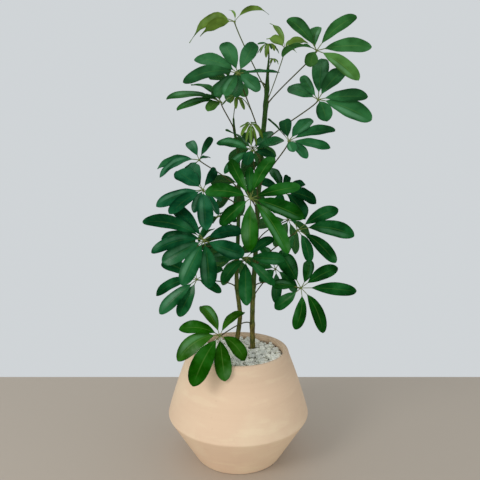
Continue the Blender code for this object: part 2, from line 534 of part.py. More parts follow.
def grow_leaflet(shape, face, leaf, axes, row, lift):
    """Grow one leaflet out of a side face of the hub."""
    usual = (0, 0, leaf.get("arch", ARCH), 0, 1.0, 0, 1.0, 0)
    clock, reach, arch, bow, breadth, roll, limp, near = row + usual[len(row):]
    hub = Vector(leaf["hub"])
    normal, twelve, three = axes
    angle = math.radians(clock)
    flat = twelve * math.cos(angle) + three * math.sin(angle)
    along = flat * math.cos(lift) + normal * math.sin(lift)
    side = along.cross(normal).normalized()
    along += TOWARDS_VIEWER * near
    crown = (normal + Vector((0, 0, 1))).normalized() * arch * reach + side * bow * reach
    hang = leaf.get("droop", 0.0) * reach * reach * limp
    width = (BLADE_WIDTH + WIDTH_PER_REACH * reach) * leaf.get("width", 1.0) * breadth

    def spine(share):
        arched = crown * 4 * share * (1 - share)
        sunk = normal * leaf["bend"] + Vector((0, 0, hang))
        return hub + along * reach * share + arched - sunk * share * share

    centre = face.calc_center_median()
    signs = []
    for vertex in face.verts:
        offset = vertex.co - centre
        signs.append((math.copysign(1, offset.dot(side)), math.copysign(1, offset.dot(normal))))
    slim = leaf.get("width", 1.0) ** 0.5
    first = max(leaf.get("bare", PETIOLULE_SHARE), HUB_CLEARANCE * HUB_RADIUS * slim / reach)
    stations = [(first, PETIOLULE_WIDTH * slim, PETIOLULE_THICKNESS * slim)]
    blade = TAILED_STATIONS if leaf.get("tailed") else BLADE_STATIONS
    stations += [(first + (1 - first) * share, width * part, BLADE_THICKNESS) for share, part in blade]
    for share, wide, thick in stations:
        middle = spine(share)
        tangent = (spine(share + 0.01) - spine(share - 0.01)).normalized()
        part = min(share / ROLL_REACH, 1.0)
        level = (side - tangent * side.dot(tangent)).normalized()
        rolled = Quaternion(tangent, math.radians(roll) * part * part * (3 - 2 * part)) @ level
        upward = rolled.cross(tangent).normalized()
        corners = [middle + rolled * across * wide / 2 + upward * above * thick / 2
                   for across, above in signs]
        face = extend(shape, face, corners)


def petiole_end(leaf):
    """Where a petiole meets its stem: the point, the way in, and the way that it leaves the stem."""
    points = STEMS[leaf["stem"]]
    if leaf["joint"] is None:
        top = Vector(points[-1][0])
        return top + Vector((0, 0, GAP)), Vector((0, 0, -1)), Vector((0, 0, 1))
    centre, radius, direction = along_stem(points, leaf["joint"])
    outward = Vector(leaf["hub"]) - centre
    outward.z = 0
    outward = (outward - direction * outward.dot(direction)).normalized()
    leaving = (outward + direction * PETIOLE_RISE).normalized()
    return centre + outward * (radius + GAP), -outward, leaving


def grow_petiole(shape, face, leaf, normal):
    """Grow the leaf's stalk from the underside of the hub to the stem."""
    end, inward, leaving = petiole_end(leaf)
    start = Vector(leaf["hub"]) - normal * HUB_DEPTH / 2
    span = (end - start).length
    controls = [start, start - normal * span * PETIOLE_START, end + leaving * span * PETIOLE_END, end]
    centre = face.calc_center_median()
    spokes = [(vertex.co - centre).normalized() for vertex in face.verts]
    heading = -normal
    slim = leaf.get("width", 1.0) ** 0.5
    for share, part in PETIOLE_RINGS:
        rest = 1 - share
        middle = (controls[0] * rest ** 3 + controls[1] * 3 * rest * rest * share
                  + controls[2] * 3 * rest * share * share + controls[3] * share ** 3)
        tangent = ((controls[1] - controls[0]) * rest * rest + (controls[2] - controls[1]) * 2 * rest * share
                   + (controls[3] - controls[2]) * share * share).normalized()
        if share == 1.0:
            tangent = inward
        turn = heading.rotation_difference(tangent)
        spokes = [turn @ spoke for spoke in spokes]
        heading = tangent
        radius = PETIOLE_RADIUS * part * slim
        face = extend(shape, face, [middle + spoke * radius for spoke in spokes])


def add_leaf(name, leaf, coat):
    """One compound leaf as one closed body: hub, leaflets and petiole."""
    shape = bmesh.new()
    axes = leaf_axes(leaf["facing"], leaf["tilt"])
    normal, twelve, three = axes
    hub = Vector(leaf["hub"])
    leaflets = sorted(leaf["leaflets"])
    clocks = [row[0] for row in leaflets]
    size = HUB_RADIUS * leaf.get("width", 1.0) ** 0.5
    corners = []
    for clock, following in zip(clocks, clocks[1:] + [clocks[0] + 360]):
        middle = math.radians((clock + following) / 2)
        flat = twelve * math.cos(middle) + three * math.sin(middle)
        corners.append(shape.verts.new(hub + flat * size - normal * HUB_DEPTH / 2))
    start = shape.faces.new(corners)
    upper = bmesh.ops.extrude_discrete_faces(shape, faces=[start])["faces"][0]
    for vertex in upper.verts:
        vertex.co += normal * HUB_DEPTH
    underside = shape.faces.new(reversed(corners))
    for number, row in enumerate(leaflets):
        edge = shape.edges.get((corners[number - 1], corners[number]))
        wall = next(face for face in edge.link_faces if face is not underside)
        raised = number % 2 != leaf.get("first_up", False)
        grow_leaflet(shape, wall, leaf, axes, row, LIFT if raised else -LIFT)
    grow_petiole(shape, underside, leaf, normal)
    bent = [face for face in shape.faces if len(face.verts) == 4]
    bmesh.ops.triangulate(shape, faces=bent, quad_method="SHORT_EDGE")
    add_object(name, shape, coat, LEAF_SMOOTHING)


def main():
    clear_scene()
    add_pot()
    cutter = stem_cutter()
    add_soil(cutter)
    add_pebbles(cutter)
    bark = material("bark", BARK)
    for name, points in STEMS.items():
        add_object(name, stem_shape(points), bark, STEM_SMOOTHING)
    mature = material("leaf", LEAF)
    young = material("young leaf", YOUNG_LEAF)
    for name, leaf in LEAVES.items():
        add_leaf(name, leaf, mature if name.startswith("leaf_") else young)


main()
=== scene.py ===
"""Potted umbrella plant: the fine pieces and finishes that are shown in place of the plain solids.

Metres, +Z up. The viewer of the plant stands towards -Y, and +X is on the viewer's right.
"""

import random
from math import copysign, cos, exp, pi, radians, sin, sqrt, tau

import bmesh
import bpy
from bpy.props import FloatProperty, FloatVectorProperty, IntProperty, PointerProperty
from mathutils import Matrix, Quaternion, Vector, noise


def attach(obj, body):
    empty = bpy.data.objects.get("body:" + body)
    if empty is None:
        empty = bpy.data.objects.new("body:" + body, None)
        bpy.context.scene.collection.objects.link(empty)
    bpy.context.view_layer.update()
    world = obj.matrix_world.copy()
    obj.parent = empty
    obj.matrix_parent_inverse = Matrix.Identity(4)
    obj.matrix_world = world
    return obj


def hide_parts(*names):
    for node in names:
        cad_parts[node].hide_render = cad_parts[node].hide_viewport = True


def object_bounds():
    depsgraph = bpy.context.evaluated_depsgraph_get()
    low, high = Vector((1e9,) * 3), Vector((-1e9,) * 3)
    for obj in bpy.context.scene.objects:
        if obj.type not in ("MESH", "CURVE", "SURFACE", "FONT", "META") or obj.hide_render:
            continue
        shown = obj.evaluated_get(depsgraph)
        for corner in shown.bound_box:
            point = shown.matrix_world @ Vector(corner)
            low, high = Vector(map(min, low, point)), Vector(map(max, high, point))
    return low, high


bl_info = {
    "name": "Potted umbrella plant",
    "version": (1, 0, 0),
    "blender": (4, 5, 0),
    "location": "View3D > Sidebar > Umbrella plant",
    "description": "Builds a potted umbrella plant, its clay pot and its marble chips piece by piece",
    "category": "Add Mesh",
}

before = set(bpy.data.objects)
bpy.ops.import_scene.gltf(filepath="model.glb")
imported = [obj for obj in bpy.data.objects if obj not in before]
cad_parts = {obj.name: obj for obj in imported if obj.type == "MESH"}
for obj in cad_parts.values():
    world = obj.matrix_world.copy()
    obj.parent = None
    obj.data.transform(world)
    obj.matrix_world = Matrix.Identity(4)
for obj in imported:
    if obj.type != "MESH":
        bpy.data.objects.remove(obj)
CAD_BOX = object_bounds()
UP = Vector((0, 0, 1))
RIGHT = Vector((1, 0, 0))
TOWARDS_VIEWER = Vector((0, -1, 0))

FRONT, BACK = "stem_front", "stem_back"

# Stems in millimetres: x, y, z and radius of the points from the foot up
STEMS_IN_MM = {
    FRONT: (
        (35, 38, 174, 6.3), (35, 38, 250, 6.3), (34, 36, 315, 6), (36, 33, 400, 5.8), (40, 30, 460, 5.7),
        (44, 28, 560, 5.6), (48, 28, 636, 5.5), (54, 30, 728, 5.5), (60, 30, 790, 5.6), (65, 30, 857, 5.2),
        (67, 30, 900, 3), (69, 30, 928, 1.8), (68.5, 30, 948, 1.4)),
    BACK: (
        (-4, 50, 174, 5.8), (-4, 50, 250, 5.8), (2, 45, 300, 5.6), (4, 40, 330, 5.4), (-3, 32, 395, 5.2),
        (-4, 27, 442, 4.9), (-1, 22, 515, 4.5), (1, 20, 610, 4.2), (0, 28, 711, 3.6), (-9, 37, 768, 2.8),
        (-11, 40, 795, 2.2)),
}
STEMS = {name: [((x / 1000, y / 1000, z / 1000), radius / 1000) for x, y, z, radius in points]
         for name, points in STEMS_IN_MM.items()}


class Leaf:
    """A leaf of the table below, turned from millimetres, degrees and hundredths to metres and shares.

    joint: the height where it leaves its stem, or None at the stem's tip
    facing: the side that its upper face looks to, 0 towards the viewer and 90 to the right
    tilt: the angle of that face above the horizon
    tone: 0 for a dark green with a bluish cast of painted reflection, 1 for a fresh green, 2 for a yellowish
    one
    leaflets: the clock direction of each from the hub, seen from above the face, its reach from hub to tip,
        and as far as its row goes on its arch and sideways bow, its width, how far its tip stands nearer the
        viewer, its roll about its own length and its part of the droop
    bend: how far the tips curve back
    bare: the part of a leaflet that is only stalk
    droop: how far a limp tip hangs, in metres for the square of its reach
    first_up: whether the first leaflet is lifted, and not the second
    tailed: whether the blades end in a thin tail
    tones: those of single leaflets, by clock direction
    Arch, bow and nearness are parts of a leaflet's reach.
    """

    def __init__(self, stem, joint, hub, facing, tilt, tone, leaflets, bend=20, bare=15, arch=2, width=100,
                 droop=0, first_up=False, tailed=False, tones=None):
        turn, rise = radians(facing), radians(tilt)
        flat = cos(rise)
        self.stem = stem
        self.joint = joint / 1000 if joint else None
        self.hub = Vector([part / 1000 for part in hub])
        self.normal = Vector((sin(turn) * flat, -cos(turn) * flat, sin(rise)))
        # The directions of 12 o'clock and 3 o'clock on its face
        self.twelve = (UP - self.normal * self.normal.z).normalized()
        self.three = self.twelve.cross(self.normal)
        self.bend, self.bare, self.width = bend / 1000, bare / 100, width / 100
        self.droop, self.first_up, self.tailed = droop, first_up, tailed
        self.tone, self.tones = tone, tones or {}
        self.leaflets = []
        for row in sorted(leaflets):
            row += (0, 0, arch, 0, 100, 0, 0, 100)[len(row):]
            clock, reach, *shares, roll, limp = row
            self.leaflets.append((clock, reach / 1000, *[part / 100 for part in shares],
                                  radians(roll), limp / 100))


LEAVES = dict(
    leaf_low_front=Leaf(FRONT, 303, (-40, -95, 321), 10, 40, 1.2, (
        (46, 91, 5, -7, 75, 0, -20), (136, 75, 6, -6, 105), (176, 92, 2, 2, 115), (212, 120, 3, 4, 125),
        (246, 101, 8, 9, 115), (289, 90, 6, 5, 100, 12), (338, 90, 5, 4, 88)), bare=13),
    leaf_low_left=Leaf(BACK, 398, (-94, -30, 431), -10, 35, 0.35, (
        (50, 65, 3, 0, 80), (111, 59, 3.5, -2, 80), (206, 88, 0, -3, 108), (225, 113, 1, -1, 97),
        (253, 106, 6, 4.5, 80), (296, 108, 3.5, 2, 95), (340, 80, 2, 0, 90)), bend=25),
    leaf_big_left=Leaf(BACK, 470, (-70, -120, 534), 10, 30, 0.15, (
        (71, 91, 4.5, -2, 95), (108, 89, -1, 4, 120), (176, 96, 2, -2, 110), (208, 104),
        (247, 94, 1, -1.5, 110), (259, 109, 5.5, 5, 75), (280, 88, 3, 2, 90), (291, 133, 6, 5.5, 82),
        (327, 115, 2, 0, 90)), bare=13),
    leaf_mid_left=Leaf(BACK, 590, (-73, -95, 636), 10, 50, 0.1, (
        (22, 105, 2, 0, 70, 0, 50), (116, 42, 2, 0, 70, -35), (150, 58, 2, 0, 60, -5), (181, 105, 2, 0, 95),
        (206, 50, 1, 0, 75, -15), (232, 91, 2, 0, 95), (258, 99, 2, 1, 110), (329, 89, 0, -2, 140, 35),
        (358, 121, 0, -6, 75, 25)), bare=14),
    leaf_upper_left=Leaf(BACK, 635, (-89, 10, 700), -20, 40, 0.1, (
        (25, 30, -2, 0, 60), (232, 52, -3, -3, 120), (249, 104, 8, 5, 97), (272, 125, 3.5, 1, 90),
        (322, 94, 3, 2.5, 78), (356, 102, 0, 3, 55, 0, 35)), bend=25, first_up=True),
    leaf_upper_centre=Leaf(FRONT, 610, (31, -45, 718), 0, 45, 0.3, (
        (27, 107, 1.5, 0.5, 60), (53, 88, -0.5, 2, 86), (84, 50, 0, 5), (204, 30, 5, 5, 105, 70),
        (234, 75, 4, 2.5, 70), (298, 89, 1.5, -0.5, 95), (329, 115, 3.5, 1.5, 80, 0, 45)), bare=14),
    leaf_top_left=Leaf(FRONT, 740, (0, -60, 876), 0, 30, 0.25, (
        (20, 102, -0.5, 2), (74, 93, 0.5, 1.5, 90, 0, -35), (124, 55, 1, 1, 120), (186, 42, 3, -2, 100, -22),
        (211, 54, 2, 0, 100, 15), (232, 62, 1.5), (263, 116, 6, 3.5), (304, 115, 4, 2),
        (342, 100, 3, -1, 110)), first_up=True, bare=12),
    leaf_left_tip=Leaf(BACK, 770, (-37, -20, 823), 20, 60, 0.9, (
        (228, 51, 7, 2, 90, 10), (264, 99, 6.5, 3, 95), (275, 119, 8, 2, 114), (303, 60, 12, 3, 105, -10),
        (336, 105, 9, 3.5, 85, 20),
        (352, 85, 9, 3, 110, -35)), bend=12, first_up=True, tones={228: 1.5, 264: 1.3}),
    leaf_right_top=Leaf(FRONT, 824, (169, -20, 931), -10, 25, 0.95, (
        (4, 80, 2, -12, 85, -18), (44, 120, 4.5, -4, 95), (81, 118, 3, -1, 110), (131, 117, 4.5, -2, 98),
        (201, 34, 5, 10, 120), (250, 84, 14, 4.5, 95, 85, 45),
        (327, 125, 3.5, 2.5, 88)), bend=10, tones={131: 1.6, 201: 1.3, 250: 1.4}),
    leaf_right_upper=Leaf(FRONT, 735, (171, -40, 826), -20, 30, 0.35, (
        (24, 104, 2, -1, 115, 12), (86, 103, 2, 0, 96), (110, 120, 3, -1, 117), (158, 54, 3, -4, 125, 18),
        (307, 97, 1, -1, 108), (328, 87, 0.5, -2.5, 70), (355, 135, 2, 1)), bend=15),
    leaf_right_mid=Leaf(FRONT, 640, (106, -75, 737), -15, 40, 0.2, (
        (28, 83, 1, 1, 110), (61, 105, 3, -1, 90), (99, 88, 1.5, 0.5, 80), (128, 52, 3, -2, 80, -10),
        (152, 22, 2, 0, 90, 50), (328, 112, 2, 0, 45, -35, 75),
        (347, 76, 2, -2.5, 95)), bend=15, first_up=True),
    leaf_centre_front=Leaf(FRONT, 560, (25, -150, 621), -10, 25, 0.85, (
        (20, 110, 3.5, -3, 83), (72, 101, 2, 0, 83), (106, 109, 2.5, -0.5, 96), (144, 134, 4, -4, 73),
        (179, 101, 2, 0, 99), (229, 79, 2, 0, 95), (284, 103, 4.5, 3, 96, 25), (331, 105, 1.5, -2, 71),
        (352, 81, 2, 0, 61)), bare=14),
    leaf_centre_low=Leaf(BACK, 440, (18, -80, 490), -10, 30, 0.45, (
        (41, 80, 2.5, -0.5, 77), (86, 81, 0.5, 1.5, 99), (129, 79, 1, 2, 69), (176, 101, 2, 2, 89),
        (228, 73, 3.5, 2.5, 87), (272, 80, 2, 0, 85)), bend=25),
    leaf_right_face=Leaf(FRONT, 452, (129, -60, 547), -10, 25, 0.5, (
        (55, 107, 3, -2, 95), (93, 122, 5.5, -5, 98), (127, 105, 4, -4.5, 85), (158, 73, 4, -8, 78),
        (210, 64, 3, 0, 70), (340, 75, 3, 0, 90)), bare=20),
    leaf_right_low=Leaf(FRONT, 400, (140, -50, 416), -15, 30, 0.7, (
        (6, 76, 0, 10, 85), (53, 96, 2, -1, 95), (86, 121, 1.5, 0, 85), (150, 109, 3, -8, 82),
        (186, 89, 0, -10, 85), (231, 74, 0, -4), (280, 70, 3, 0, 85), (327, 96, 3, 0, 130)), bare=20),
    leaf_inner_low=Leaf(FRONT, 376, (92, 70, 435), 30, 30, 0.5, (
        (188, 80), (244, 50), (300, 60), (350, 70), (50, 80), (140, 80))),
    leaf_inner_right=Leaf(FRONT, 560, (106, 45, 626), 25, 40, 0.3, (
        (10, 105, -0.5, -4, 95), (36, 80, 2, -2.5, 62), (61, 110, 1, 1, 68), (100, 98, 2.5, 0, 130),
        (137, 81, 4, -2, 150), (215, 55), (320, 80)), bend=25),
    leaf_inner_left=Leaf(BACK, 535, (-45, 50, 568), -60, 65, 0.3, (
        (235, 70), (275, 70), (315, 70), (0, 60), (60, 40), (180, 75)), bend=25),
    leaf_inner_high=Leaf(FRONT, 590, (4, 110, 645), 200, 25, 0.3, (
        (345, 75), (30, 80), (80, 85), (130, 80), (185, 85), (235, 80), (295, 60)), bend=25),
    leaf_behind_low=Leaf(BACK, 400, (-5, 160, 450), 180, 30, 0.4, (
        (20, 80), (65, 85), (110, 85), (155, 90), (205, 85), (250, 80), (320, 80)), bend=30),
    leaf_behind_left=Leaf(BACK, 480, (-105, 125, 485), -130, 30, 0.3, (
        (10, 80), (60, 85), (105, 85), (160, 85), (210, 80), (255, 80), (310, 80)), bend=30),
    leaf_behind_right=Leaf(FRONT, 505, (130, 150, 550), 140, 25, 0.5, (
        (0, 80), (45, 85), (95, 90), (145, 90), (195, 85), (245, 80), (300, 80)), bend=30),
    leaf_behind_high=Leaf(FRONT, 690, (36, 150, 735), 175, 30, 0.4, (
        (15, 60), (60, 60), (105, 62), (160, 65), (210, 65), (260, 62), (310, 60)), bend=30),
    leaf_behind_top=Leaf(FRONT, 865, (-22, 110, 897), 190, 35, 0.55, (
        (20, 50), (75, 55), (130, 55), (185, 55), (235, 55), (295, 50))),
    young_left_high=Leaf(FRONT, 857, (-8, 20, 1002), 0, 20, 0.4, (
        (62, 88, 17, -3, 55, 0, 0, 32), (276, 76, 0, 0, 95, 20, 0, 120), (290, 110, 6.5, 0, 110, 0, 0, 92),
        (336, 32, 10, 20, 25, 0, 0, 20)), bend=0, tailed=True, droop=6.5, arch=14, width=85),
    young_right_high=Leaf(FRONT, 828, (100, -30, 932), 0, 35, 0, (
        (24, 36, 2, -4, 45, 20), (72, 53, 13, -8, 150), (104, 26, 12, -7, 50, -20), (308, 50, 9, 6, 160),
        (345, 113, 4.5, 4, 75)), bend=0, tailed=True, droop=1.0, arch=8, width=55),
    sprout_top=Leaf(FRONT, None, (69, 30, 957), 0, 80, 0.7, (
        (25, 16, 10, 0, 70), (66, 20, 10, 0, 75), (103, 23, 10, 0, 85), (150, 22, 10, 0, 90),
        (196, 28, 8, 0, 95), (232, 26, 8, 0, 70, 0, 0, 90), (262, 26, 8, 0, 65, 0, 0, 75),
        (287, 27, 8, 0, 50, 0, 50, 5), (330, 16, 10, 0, 70)), bend=0, droop=36, arch=10, width=42),
    sprout_second=Leaf(FRONT, 902, (77, 12, 921.5), 20, 70, 0.8, (
        (50, 13, 10, 0, 45), (95, 13, 10, 0, 60), (140, 14, 10, 0, 60), (185, 13, 10, 0, 60),
        (228, 14, 10, 0, 60), (270, 13, 10, 0, 60),
        (315, 12, 10, 0, 45)), bend=0, droop=45, arch=10, width=30),
    sprout_left=Leaf(BACK, None, (-4, 20, 840.5), 10, 70, 0.5, (
        (28, 15, 8, 0, 45), (65, 21, 12, 0, 35, 0, 0, 0), (105, 33, 8, 0, 55, 0, 0, 68), (150, 27, 8, 0, 85),
        (192, 24, 8, 0, 75), (234, 20, 8, 0, 55), (265, 33, 8, 0, 75, 0, 0, 43),
        (297, 20, 8, 0, 50, 0, 0, 20), (330, 15, 8, 0, 45)), bend=0, droop=34, arch=8, width=50),
    sprout_centre=Leaf(FRONT, 692, (27, -60, 772), 0, 45, 0.35, (
        (15, 13, 12, 0, 50), (60, 14, 12, 0, 50), (100, 22, 12, 0, 70, 0, 0, 130), (130, 32, 12, 0, 75),
        (160, 34, 12, 0, 50), (181, 36, 12, 0, 55), (200, 31, 12, 0, 50), (228, 28, 12, 0, 80),
        (262, 24, 10, 0, 50, 0, 0, 30), (300, 14, 10, 0, 60)), bend=0, droop=17, arch=12, width=45),
)

# How a leaf is made. Every second leaflet is lifted and the others lowered, so that neighbours pass clear.
LIFT = radians(4)
# Outlines of a blade: part of its length, and of its half width
OUTLINE = ((0, 0.06), (0.05, 0.20), (0.13, 0.43), (0.24, 0.69), (0.37, 0.88), (0.50, 0.98), (0.62, 1),
           (0.73, 0.97), (0.83, 0.86), (0.91, 0.65), (0.96, 0.42), (0.985, 0.23), (1, 0.04))
TAILED_OUTLINE = ((0, 0.06), (0.05, 0.28), (0.13, 0.60), (0.24, 0.86), (0.37, 0.98), (0.50, 1), (0.60, 0.96),
                  (0.68, 0.80), (0.74, 0.52), (0.80, 0.24), (0.88, 0.12), (1, 0.04))
# Where a leaflet's rings of corners stand, along its stalk and along its blade
STALK_RINGS = (0.10, 0.40, 0.72)
BLADE_RINGS = (0, 0.04, 0.09, 0.15, 0.23, 0.32, 0.42, 0.52, 0.62, 0.71, 0.79, 0.86, 0.92, 0.96, 0.985, 1)
BLADE_CORNERS = 14
BLADE_START = 0.2  # the blade attribute is 0 at the hub, this where the blade starts and 1 at the tip
# Bounds of what each leaflet draws
WIDTH_SPREAD = (0.96, 1.04)
FOLD_SPREAD = (0.6, 1.5)
RIPPLES = (1.4, 2.6)
TWIST = 6  # degrees, to either side
TONE_SPREAD = 0.12
NARROW_FOLD = 1.8  # how much steeper a narrow leaflet folds
LEVEL_PART = 0.35  # where a folded half is level with the leaflet's line, from midrib to edge
EDGE_THINNING = 0.55
RIB_REACH = 2.2  # how far the midrib's swelling reaches, in stalk radii
RIB_ABOVE = 0.15
RIB_BELOW = 0.9
PETIOLE_SIDES = 8
PETIOLE_RINGS = 14
PETIOLE_SEAT = 0.4  # how far out in the stem its end sits, in stem radii
PETIOLE_RISE = 1.5  # how steeply it leaves the stem
PETIOLE_ARMS = (0.12, 0.28)  # how long it keeps its direction at the hub and at the stem, in spans
HUB_SEAT = 0.0004  # how far above the hub's middle it starts
TIP_SEAT = 0.001  # how far below a stem's tip the stalk of its last leaf ends
HUB_SWELL = 0.5  # how much thicker it is at the hub, and at its sheath on the stem
SHEATH_SWELL = 0.75
HUB_RADIUS = 0.0030
HUB_FLATNESS = 0.7

# How the stems are made
STEM_STEP = 0.0035
STEM_SIDES = 18
JOINT_REACH = 0.006  # half height of a swelling
MOST_SWELLINGS = 1.2  # where several leaves meet
LEAF_SCARS = 30
FIRST_SCAR = 0.27
SCAR_SPACING = 0.021
SCAR_SCATTER = 0.006
SCAR_REACH = 0.0022
SCAR_RISE = 0.045  # how much thicker a stem is at a scar
UNEVENNESS = 0.05

# How the pot and the soil are made
POT_SIDES = 160
POT_STEP = 0.0022
BASE_ROUNDING = 0.003
UPPER_STEPS = 12
RINGS_FROM = 0.004  # height where the rings of the wheel start
BROAD_RINGS = 95  # how close they lie
FINE_RINGS = 290
INNER_MOUTH = 0.234  # height where the inner wall meets the lip
# The lip from outside to inside: out from its middle and down from its top
LIP = ((0.0072, 0.0090), (0.0062, 0.0058), (0.0048, 0.0032), (0.0030, 0.0013), (0.0008, 0.0002),
       (-0.0015, 0.0003), (-0.0038, 0.0014), (-0.0056, 0.0036), (-0.0068, 0.0064), (-0.0074, 0.0095),
       (-0.0070, 0.0140))
SOIL_SIDES = 96
SOIL_RINGS = 34
SOIL_GAP = 0.0006  # between the soil and the wall
SOIL_LUMPS = ((75, 0.0022), (260, 0.0012))  # how close they lie, and their height
SOIL_RISE = 0.0012

# How the marble chips are made. A layer: its height, and how close the chips lie compared with the pitch
CHIP_LAYERS = ((0.2370, 0.82), (0.2415, 0.95), (0.2460, 1.15))
LAYER_SCATTER = 0.001
CHIP_SEED = 11
CHIP_FIELD = 0.1005  # radius of the field that their middles keep to
STEM_CLEARANCE = 0.0105
CHIP_POINTS = 10
CHIP_SQUARENESS = 0.6  # below 1, a chip's points crowd towards the corners of a box
CHIP_LENGTHS = (0.52, 1.0)
CHIP_WIDTHS = (0.65, 0.95)
CHIP_HEIGHTS = (0.50, 0.75)
CHIP_DEPTHS = (0.85, 1.0)  # how far out its points stand
CHIP_WEAR = 0.07  # width of the worn edges, in half sizes
CHIP_LEAN = 0.35  # in radians

FLOOR_STRETCH = 2.4
FLOOR_MIDDLE = (0, -0.58, -0.0002)
SENSOR_WIDTH = 36


def length(name, description, default):
    return FloatProperty(name=name, description=description, default=default, min=0.0, unit="LENGTH")


def share(name, description, default):
    return FloatProperty(name=name, description=description, default=default, min=0.0)


def colour(name, description, default):
    return FloatVectorProperty(name=name, description=description, default=default, subtype="COLOR",
                               min=0.0, max=1.0)


class PotSettings(bpy.types.PropertyGroup):
    """Form and clay of the pot."""

    base_radius: length("Base radius", "Radius of the flat base", 0.103)
    belly_radius: length("Belly radius", "Radius where the two cones would meet in a sharp crease", 0.1675)
    belly_height: length("Belly height", "Height of the crease above the floor", 0.106)
    shoulder_radius: length("Shoulder radius", "Radius below the lip", 0.121)
    shoulder_height: length("Shoulder height", "Height of the shoulder below the lip", 0.245)
    rim_radius: length("Rim radius", "Radius of the middle of the lip", 0.1125)
    rim_height: length("Rim height", "Height of the lip above the floor", 0.259)
    wall: length("Wall", "Thickness of the wall", 0.014)
    floor: length("Floor", "Thickness of the floor", 0.013)
    crease: length("Crease rounding", "Length over which the crease is rounded on each side", 0.003)
    bulge: length("Upper bulge", "How far the upper cone bows out", 0.002)
    ring_depth: length("Throwing rings", "Depth of the rings that the wheel leaves", 0.00018)
    clay: colour("Clay", "Colour of the dry clay", (0.83, 0.612, 0.425))
    clay_shade: colour("Clay shade", "Colour of its darker bands and pores", (0.72, 0.500, 0.33))
    bloom: colour("Bloom", "Colour of the pale salt bloom", (0.89, 0.71, 0.49))


class FillingSettings(bpy.types.PropertyGroup):
    """Soil and marble chips."""

    soil_top: length("Soil top", "Height of the soil", 0.2337)
    soil: colour("Soil", "Colour of the moist soil", (0.030, 0.020, 0.013))
    crumb: colour("Crumbs", "Colour of the lighter crumbs", (0.085, 0.055, 0.035))
    chip_size: length("Chip size", "Longest side of the largest chips", 0.026)
    chip_pitch: length("Chip pitch", "Least distance between the middles of two chips", 0.0115)
    chips: IntProperty(name="Tries", description="How many places are tried for chips in each layer",
                       default=1500, min=1)
    marble: colour("Marble", "Colour of the whitest chips", (0.93, 0.92, 0.82))
    grey_marble: colour("Grey marble", "Colour of the greyest chips", (0.48, 0.49, 0.46))


class StemSettings(bpy.types.PropertyGroup):
    """Bark of the two stems."""

    old_bark: colour("Old bark", "Colour near the soil", (0.170, 0.130, 0.034))
    green_bark: colour("Green bark", "Colour of the young wood", (0.027, 0.074, 0.012))
    scar: colour("Scars", "Colour of the lenticels and leaf scars", (0.26, 0.22, 0.12))
    swelling: share("Swelling", "How much thicker a stem is where a leaf stalk leaves it", 0.16)


class LeafSettings(bpy.types.PropertyGroup):
    """Form and colours of the compound leaves."""

    blade_width: length("Blade width", "Width of a leaflet, before its length adds to it", 0.021)
    width_per_reach: share("Width per reach", "How much wider a leaflet is for its reach", 0.12)
    thickness: length("Thickness", "Thickness of a blade near its midrib", 0.0007)
    stalk_radius: length("Leaflet stalk radius", "Radius of the small stalk of a leaflet", 0.0009)
    petiole_radius: length("Petiole radius", "Radius of a leaf's stalk", 0.0014)
    fold: share("Fold", "How steeply the halves of a blade rise from the midrib", 0.16)
    wave: length("Wave", "How far the edge of a blade waves up and down", 0.0011)
    # The bluish cast of this colour is painted reflection of the bright surround, on a dark green
    deep_green_and_blue_sheen: colour("Deep green", "Upper face of the dark leaves", (0.005, 0.074, 0.027))
    fresh_green: colour("Fresh green", "Upper face of the fresh leaves", (0.007, 0.078, 0.001))
    # Painted light: the highest leaves are painted lighter with this colour, standing for the stronger light
    # up there
    painted_light_green: colour("High green", "Upper face of the highest leaves", (0.035, 0.115, 0.040))
    # Painted highlight: the tint of the painted strip beside the midrib of some leaflets
    painted_gleam: colour("Gleam", "The glossy strip beside the midrib of some leaflets", (0.130, 0.300, 0.170))
    underside: colour("Underside", "Lower face of the blades", (0.035, 0.130, 0.035))
    turning: colour("Turning green", "Upper face of the yellowish leaflets", (0.120, 0.230, 0.020))
    rib: colour("Midrib", "Colour of the midrib and veins", (0.11, 0.22, 0.04))
    stalk: colour("Leaflet stalks", "Colour of the leaflet stalks and the hub", (0.13, 0.17, 0.045))
    petiole: colour("Petiole", "Colour of the leaf stalks", (0.075, 0.075, 0.030))
    young_green: colour("Young green", "Upper face of the young leaves", (0.030, 0.085, 0.006))
    young_gold: colour("Young gold", "Upper face of the newest leaves", (0.080, 0.135, 0.008))
    # Painted light: the highest young leaves are painted lighter with this colour, standing for the stronger
    # light up there
    young_painted_light: colour("Young high", "Upper face of the highest young leaves", (0.120, 0.190, 0.035))
    young_petiole: colour("Young petiole", "Colour of the young leaf stalks", (0.095, 0.120, 0.040))


class StageSettings(bpy.types.PropertyGroup):
    """Floor, light and camera."""

    floor: colour("Floor", "Colour of the plain floor", (0.50, 0.432, 0.358))
    surround: colour("Surround", "Colour of the air around the plant", (0.63, 0.66, 0.68))
    eye: FloatVectorProperty(name="Camera place", description="Where the camera stands",
                             default=(0.004, -1.10, 0.67), subtype="TRANSLATION", unit="LENGTH")
    pitch: FloatProperty(name="Camera pitch", description="How far the camera looks down",
                         default=radians(7.9), subtype="ANGLE", unit="ROTATION")
    focal: FloatProperty(name="Focal length", description="Focal length in mm on a 36 mm wide sensor",
                         default=36.075, min=1.0)


class PlantSettings(bpy.types.PropertyGroup):
    """All the settings of the plant."""

    pot: PointerProperty(type=PotSettings)
    filling: PointerProperty(type=FillingSettings)
    stems: PointerProperty(type=StemSettings)
    leaves: PointerProperty(type=LeafSettings)
    stage: PointerProperty(type=StageSettings)


